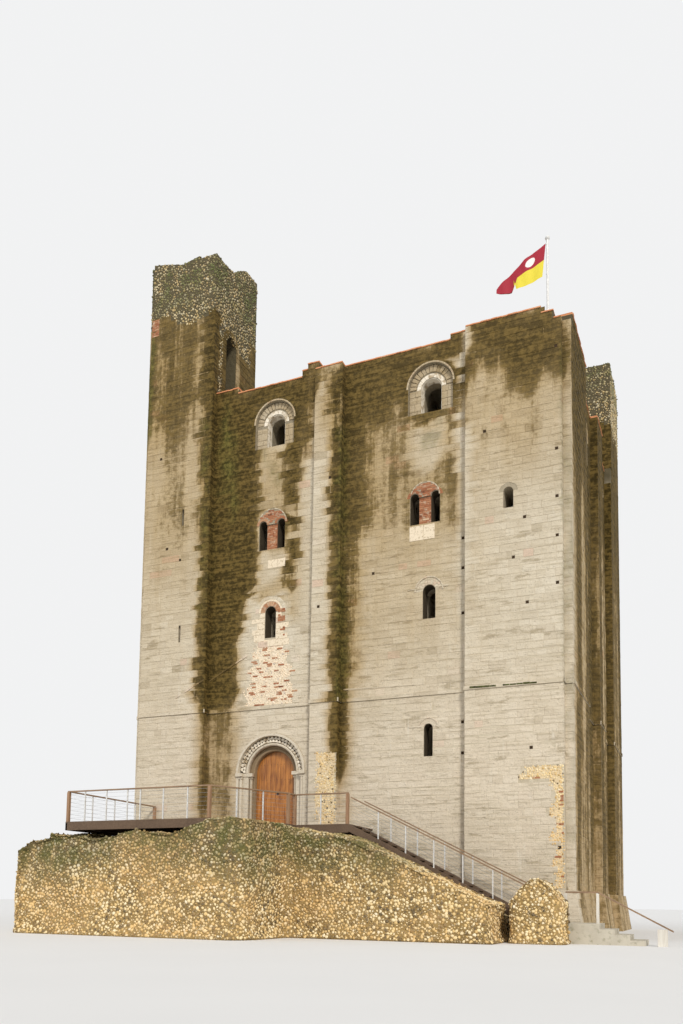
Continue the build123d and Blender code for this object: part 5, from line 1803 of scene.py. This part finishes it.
RAIL = 1.08
STAIR_RAIL = 0.96
RAIL_W = 0.075
RAIL_T = 0.045
POST_SPACING = 1.15
TIMBER_POST_HALF = 0.05
METAL_POST_HALF = 0.019
STAIR_BAYS = 6
WIRES = 7
WIRE_R = 0.004
LOWER_RAIL = (0.07, 0.05)  # width and thickness of the rail beside the lower steps
LOWER_SLOPE = 0.53
LOWER_POST = (0.14, 0.035)   # half width of its foot post, and half depth of all three
# Kinds of the railings' pieces
METAL, TIMBER, HANDRAIL, WIRE, PALE = range(5)
# Shares of the deck's front at which its posts stand
FRONT_POSTS = (0.0, 0.124, 0.283, 0.435, 0.528, 0.689, 0.854, 1.0)


def evenly(length):
    """Shares of a length at which its posts stand."""
    count = max(1, round(length / POST_SPACING))
    return [i / count for i in range(count + 1)]


def railing(pile, start, end, height, posts, ends=(True, True)):
    """One straight length: metal posts, timber end posts, a timber rail and tight wires."""
    start, end = Vector(start), Vector(end)
    for share in posts:
        foot = start.lerp(end, share)
        timber = share in (0.0, 1.0)
        if timber and not ends[share == 1.0]:
            continue
        half = TIMBER_POST_HALF if timber else METAL_POST_HALF
        out = Vector((half, half, 0))
        top = Vector((0, 0, height - RAIL_T))
        pile.box(foot - out, foot + out + top, 0.5, TIMBER if timber else METAL)
    lift = Vector((0, 0, height))
    run = (end - start).normalized() * 0.035
    plank(pile, start + lift - run, end + lift + run, RAIL_W, RAIL_T, HANDRAIL)
    for i in range(WIRES):
        up = Vector((0, 0, 0.13 + i * (height - 0.25) / (WIRES - 1)))
        bar(pile, start + up, end + up, WIRE_R, WIRE, 4)


def build_railings():
    """The railings of the deck, both of the stair, and the one beside the lower steps."""
    pile = Pile(71)
    left, front, near = DECK_LEFT + 0.06, DECK_FRONT + 0.06, STAIR_NEAR + 0.06
    inner = (DECK_INNER[0] - 0.06, DECK_INNER[1] + 0.03)
    deck = [(left, -HALF_D - 0.08), (left, front), (DECK_BEND, front), inner, (inner[0], near),
            (STAIR_X - 0.06, near)]
    for index, (a, b) in enumerate(zip(deck, deck[1:])):
        posts = FRONT_POSTS if index == 1 else evenly((Vector(b) - Vector(a)).length)
        railing(pile, (*a, DECK), (*b, DECK), RAIL, posts, (index == 0, True))

    def pitch(x):
        return DECK - (x - STAIR_X) * RISE / GOING

    x0, x1 = STAIR_X + 0.11, STAIR_FOOT - 0.11
    for y in (STAIR_NEAR + 0.035, STAIR_NEAR + STAIR_W - 0.035):
        posts = [i / STAIR_BAYS for i in range(STAIR_BAYS + 1)]
        railing(pile, (x0, y, pitch(x0)), (x1, y, pitch(x1)), STAIR_RAIL, posts, (False, True))
    low_x = STAIR_FOOT + 2.15
    y = STAIR_NEAR + 0.05
    start, level_end, end = low_x - 0.99, low_x - 0.05, low_x + 2.06
    top = LANDING + STAIR_RAIL
    foot_half, half = LOWER_POST
    for x in (start, level_end):
        pile.box((x - 0.04, y - half, LANDING), (x + 0.04, y + half, top - RAIL_T), 0.9, PALE)
    plank(pile, (start, y, top), (level_end, y, top), *LOWER_RAIL, HANDRAIL)
    rail_end = (end, y, top - LOWER_SLOPE * (end - level_end))
    plank(pile, (level_end, y, top), rail_end, *LOWER_RAIL, HANDRAIL)
    foot_x = low_x + 1.76
    foot_top = top - (foot_x + foot_half - level_end) * LOWER_SLOPE - LOWER_RAIL[1]
    pile.box((foot_x - foot_half, y - half, 0.0), (foot_x + foot_half, y + half, foot_top), 0.9, PALE)
    pile.build(
        "railings", ["steel", "post_timber", "handrail", "wire", "pale_timber"], "rail_steel",
        ["deck_railing_end", "deck_railing_front", "deck_railing_corner", "stair_railing_near",
         "stair_railing_far", "lower_railing"])


# Entrance door


BOARDING_R = DOOR_R - 0.013
BOARDS = 4                 # on each leaf
BOARD_BACK = -HALF_D + PROJ + 0.507
DOOR_BOARD_T = 0.013
STUD_ROWS = (4.35, 5.1, 5.85, 6.45)
OAK, IRON = range(2)       # kinds of a leaf's pieces


def door_reach(z):
    """Half width of the boarding at a height, inside the stone arch."""
    if z <= DOOR_SPRING:
        return BOARDING_R
    return math.sqrt(max(BOARDING_R ** 2 - (z - DOOR_SPRING) ** 2, 0.0))


def build_leaf(side, body):
    """Upright boards on the outer face of one leaf, with studs along its ledges."""
    pile = Pile(80 + side)
    out = BOARD_BACK - DOOR_BOARD_T
    pitch = (BOARDING_R - 0.004) / BOARDS
    for i in range(BOARDS):
        a = 0.0035 + i * pitch
        b = a + pitch - 0.011
        across = [a + (b - a) * k / 5 for k in range(6)]
        tops = [(x, DOOR_SPRING + math.sqrt(max(BOARDING_R ** 2 - x ** 2, 0.0))) for x in across]
        line = [(a, DECK + 0.02), (b, DECK + 0.02)] + tops[::-1]
        if side < 0:
            line = [(-x, z) for x, z in reversed(line)]
        points = [(DOOR_X + x, y, z) for y in (out, BOARD_BACK) for x, z in line]
        n = len(line)
        faces = [tuple(range(n)), tuple(reversed(range(n, 2 * n)))]
        faces += [(k, n + k, n + (k + 1) % n, (k + 1) % n) for k in range(n)]
        pile.add(points, faces, None, OAK)
    for z in STUD_ROWS:
        for i in range(5):
            x = DOOR_X + side * (0.06 + i * (door_reach(z) - 0.15) / 4)
            bar(pile, (x, out + 0.002, z), (x, out - 0.009, z), 0.011, IRON, 8)
    if side > 0:
        x, z = DOOR_X + 0.09, 5.3
        bar(pile, (x, out, z), (x, out - 0.012, z), 0.05, IRON, 12)
        bar(pile, (x, out - 0.012, z), (x, out - 0.05, z), 0.022, IRON, 10)
    name = "left_leaf_boards" if side < 0 else "right_leaf_boards"
    pile.build(name, ["door", "iron"], "door_oak", body=body)


CARVED = ["portal", "shade", "plaster"]
CARVING_SHADE, POINTED = 1, 2


def build_portal_carving():
    """Two worn rows of pointed stones round the outer order of the doorway, before a dark ring painted as
    the shade in the gaps between them.
    """
    pile = Pile(95)
    front = Side("front")
    face, middle = front.bay_face(), front.along(DOOR_X)
    face.offset = -0.15
    # a thin dark ring behind the points: painted shade in the gaps of the carving
    voussoirs(pile, face, middle, DOOR_SPRING, 1.15, 1.395, 24, 0.008, 0.5, CARVING_SHADE)
    for inner, outer, count, shift in ((1.16, 1.275, 28, 0.0), (1.275, 1.4, 26, 0.5)):
        mid = (inner + outer) / 2
        for i in range(count):
            turns = (math.pi * (i + k) / count for k in (0.07, 0.5, 0.93))
            a, b, c = (min(max(turn + shift * math.pi / count, 0.01), math.pi - 0.01) for turn in turns)
            outline = on_arch(middle, DOOR_SPRING, (
                (mid, a), (outer, b), (mid, c), (inner, c), (inner, a)))
            lay_stone(pile, face, outline, pile.random.uniform(0.05, 0.09), 0.012, kind=POINTED)
    pile.build("portal_carving", CARVED, "portal_stone")


# Flag

FLAG = (1.29, 1.95)        # hoist and length of the flat cloth


def build_flag():
    """Cloth of two broad bands with a pale disc, hanging in a light wind."""
    hoist = Vector((7.725, -6.1, 25.86))
    drop, long = FLAG
    columns, rows = 60, 26
    points, places = [], []
    for i in range(columns + 1):
        u = i / columns
        folded = min(max((u - 0.56) / 0.12, 0.0), 1.0)
        for j in range(rows + 1):
            v = j / rows
            reach = 1.86 * u
            top = -1.0 * u - 0.34 * u ** 3
            low = -drop - 0.52 * u + 0.3 * u ** 4
            turned = v * (1 - folded) + (v * 2 if v < 0.5 else 2 - 2 * v) * folded
            wave = math.sin(11.0 * u - 1.2 * v + 0.4) * 0.05 * min(1.0, 2.4 * u)
            wave += math.sin(27.0 * u + 3.0 * v) * 0.014 * min(1.0, 3 * u)
            wave += 0.1 * folded * max(v - 0.5, 0.0)
            sway = 0.13 * v * (1 - u)
            points.append((hoist.x - reach - sway, hoist.y + wave, hoist.z + top + (low - top) * turned))
            places.append((u, v, 0.0, 1.0))
    faces = []
    for i in range(columns):
        for j in range(rows):
            a = i * (rows + 1) + j
            faces.append((a, a + 1, a + rows + 2, a + rows + 1))
    mesh = bpy.data.meshes.new("flag_cloth")
    mesh.from_pydata(points, [], faces)
    layer = mesh.attributes.new("place", "FLOAT_COLOR", "POINT")
    layer.data.foreach_set("color", np.array(places, np.float32).ravel())
    mesh.polygons.foreach_set("use_smooth", [True] * len(mesh.polygons))
    mesh.materials.append(FINISHES["flag"])
    cloth = bpy.data.objects.new("flag_cloth", mesh)
    bpy.context.scene.collection.objects.link(cloth)
    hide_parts("flag")
    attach(cloth, "keep")


# Camera, light and floor


EYE = (13.149, -36.905, 1.2)
FOCAL_PX = 864.7
CENTRE_Y_PX = 825.6        # where the camera's axis meets the picture, from its top
HIGH_PX = 1024


def add_camera():
    """The photo's camera: low before the keep, tilted up a little, its picture shifted upward."""
    yaw, pitch, roll = (math.radians(v) for v in (23.559, 4.959, 0.825))
    forward = Vector((-math.sin(yaw) * math.cos(pitch), math.cos(yaw) * math.cos(pitch), math.sin(pitch)))
    level = Vector((math.cos(yaw), math.sin(yaw), 0.0))
    rise = level.cross(forward)
    right = math.cos(roll) * level + math.sin(roll) * rise
    up = -math.sin(roll) * level + math.cos(roll) * rise
    data = bpy.data.cameras.new("camera")
    data.sensor_width = 36.0
    data.lens = data.sensor_width * FOCAL_PX / HIGH_PX
    data.shift_y = (CENTRE_Y_PX - HIGH_PX / 2) / HIGH_PX
    data.clip_end = 500.0
    camera = bpy.data.objects.new("camera", data)
    turn = Matrix((right, up, -forward)).transposed()
    camera.matrix_world = Matrix.Translation(EYE) @ turn.to_4x4()
    bpy.context.scene.collection.objects.link(camera)
    bpy.context.scene.camera = camera


def add_lights():
    """Two broad lamps and an even sky, whose pale tone only the camera and reflections see."""
    def sun(name, turn, strength, angle, colour):
        data = bpy.data.lights.new(name, "SUN")
        data.energy = strength
        data.angle = math.radians(angle)
        data.color = colour
        lamp = bpy.data.objects.new(name, data)
        lamp.rotation_euler = [math.radians(v) for v in turn]
        bpy.context.scene.collection.objects.link(lamp)

    sun("key", (56.0, 0.0, 38.0), 2.3, 12.0, (1.0, 0.965, 0.91))
    sun("fill", (62.0, 0.0, -48.0), 0.55, 60.0, (0.95, 0.97, 1.0))
    world = bpy.data.worlds.new("studio")
    world.use_nodes = True
    sky = Nodes(world.node_tree)
    soft = sky.out("Background", 0, {0: (0.96, 0.97, 1.0, 1.0), 1: 0.5})
    seen = sky.out("Background", 0, {0: (0.93, 0.935, 0.94, 1.0), 1: 0.95})
    path = sky.add("LightPath")
    direct, glossy, through = (
        Socket(sky, path.outputs[name])
        for name in ("Is Camera Ray", "Is Glossy Ray", "Is Transmission Ray"))
    shown = (direct + glossy + through).clamped()
    sky.add("OutputWorld", {0: sky.out("MixShader", 0, {0: shown, 1: soft, 2: seen})})
    bpy.context.scene.world = world
    bpy.context.scene.view_settings.view_transform = "Standard"


def add_floor():
    """A plain pale floor."""
    mesh = bpy.data.meshes.new("floor")
    size = 220.0
    mesh.from_pydata(
        [(-size, -size, 0), (size, -size, 0), (size, size, 0), (-size, size, 0)], [], [(0, 1, 2, 3)])
    finish = Finish("pale_floor", 0.9)
    finish.colour(finish.mix(finish.noise(0.3, 2.0), (0.8, 0.8, 0.79), (0.83, 0.83, 0.82)))
    mesh.materials.append(finish.material)
    floor = bpy.data.objects.new("floor", mesh)
    bpy.context.scene.collection.objects.link(floor)


# Finishes of the frame's nodes, by the start of the name; the first that fits is taken
NODE_FINISHES = (
    ("door_leaf", "door"), ("door_pintles", "iron"), ("door_", "portal"), ("entrance_deck", "deck"),
    ("entrance_floor", "floor"), ("hall_floor", "floor"), ("gallery_floor", "floor"),
    ("top_floor", "floor"), ("gallery_window_piers", "brick"), ("flagpole", "paint"), ("roof", "lead"),
    ("stair_bank", "rubble"), ("rubble_stub", "rubble"), ("ruin", "rubble"), ("stair_railing", "steel"),
    ("lower_railing", "steel"), ("deck_railing", "steel"), ("stair_", "deck"), ("lower_steps", "steps"),
    ("ground_floor", "steps"), ("", "core"))


def finish_nodes():
    for name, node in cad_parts.items():
        finish = next(finish for start, finish in NODE_FINISHES if name.startswith(start))
        node.data.materials.clear()
        node.data.materials.append(FINISHES[finish])


LEFT_TALL = (-HALF_W, -HALF_W + TALL, -HALF_D, -HALF_D + TALL)
RIGHT_TALL = (HALF_W - TALL, HALF_W, HALF_D - TALL, HALF_D)
for count, side in enumerate(SIDES):
    build_side(side, 40 + count)
build_tall_turret("left_tall_ashlar", 31, LEFT_TALL, 0, LEFT_TALL[1], 28.9)
build_tall_turret("right_tall_ashlar", 32, RIGHT_TALL, 2, RIGHT_TALL[0], 27.4)
for count, side in enumerate(SIDES):
    dress_windows(side, 20 + count)
build_parapet_steps()
build_coping()
build_crown_flints()
build_scars()
build_ledges()
build_rubble()
build_deck()
build_railings()
build_leaf(-1, "door_leaf_left")
build_leaf(1, "door_leaf_right")
build_portal_carving()
build_flag()
finish_nodes()
add_camera()
add_lights()
add_floor()
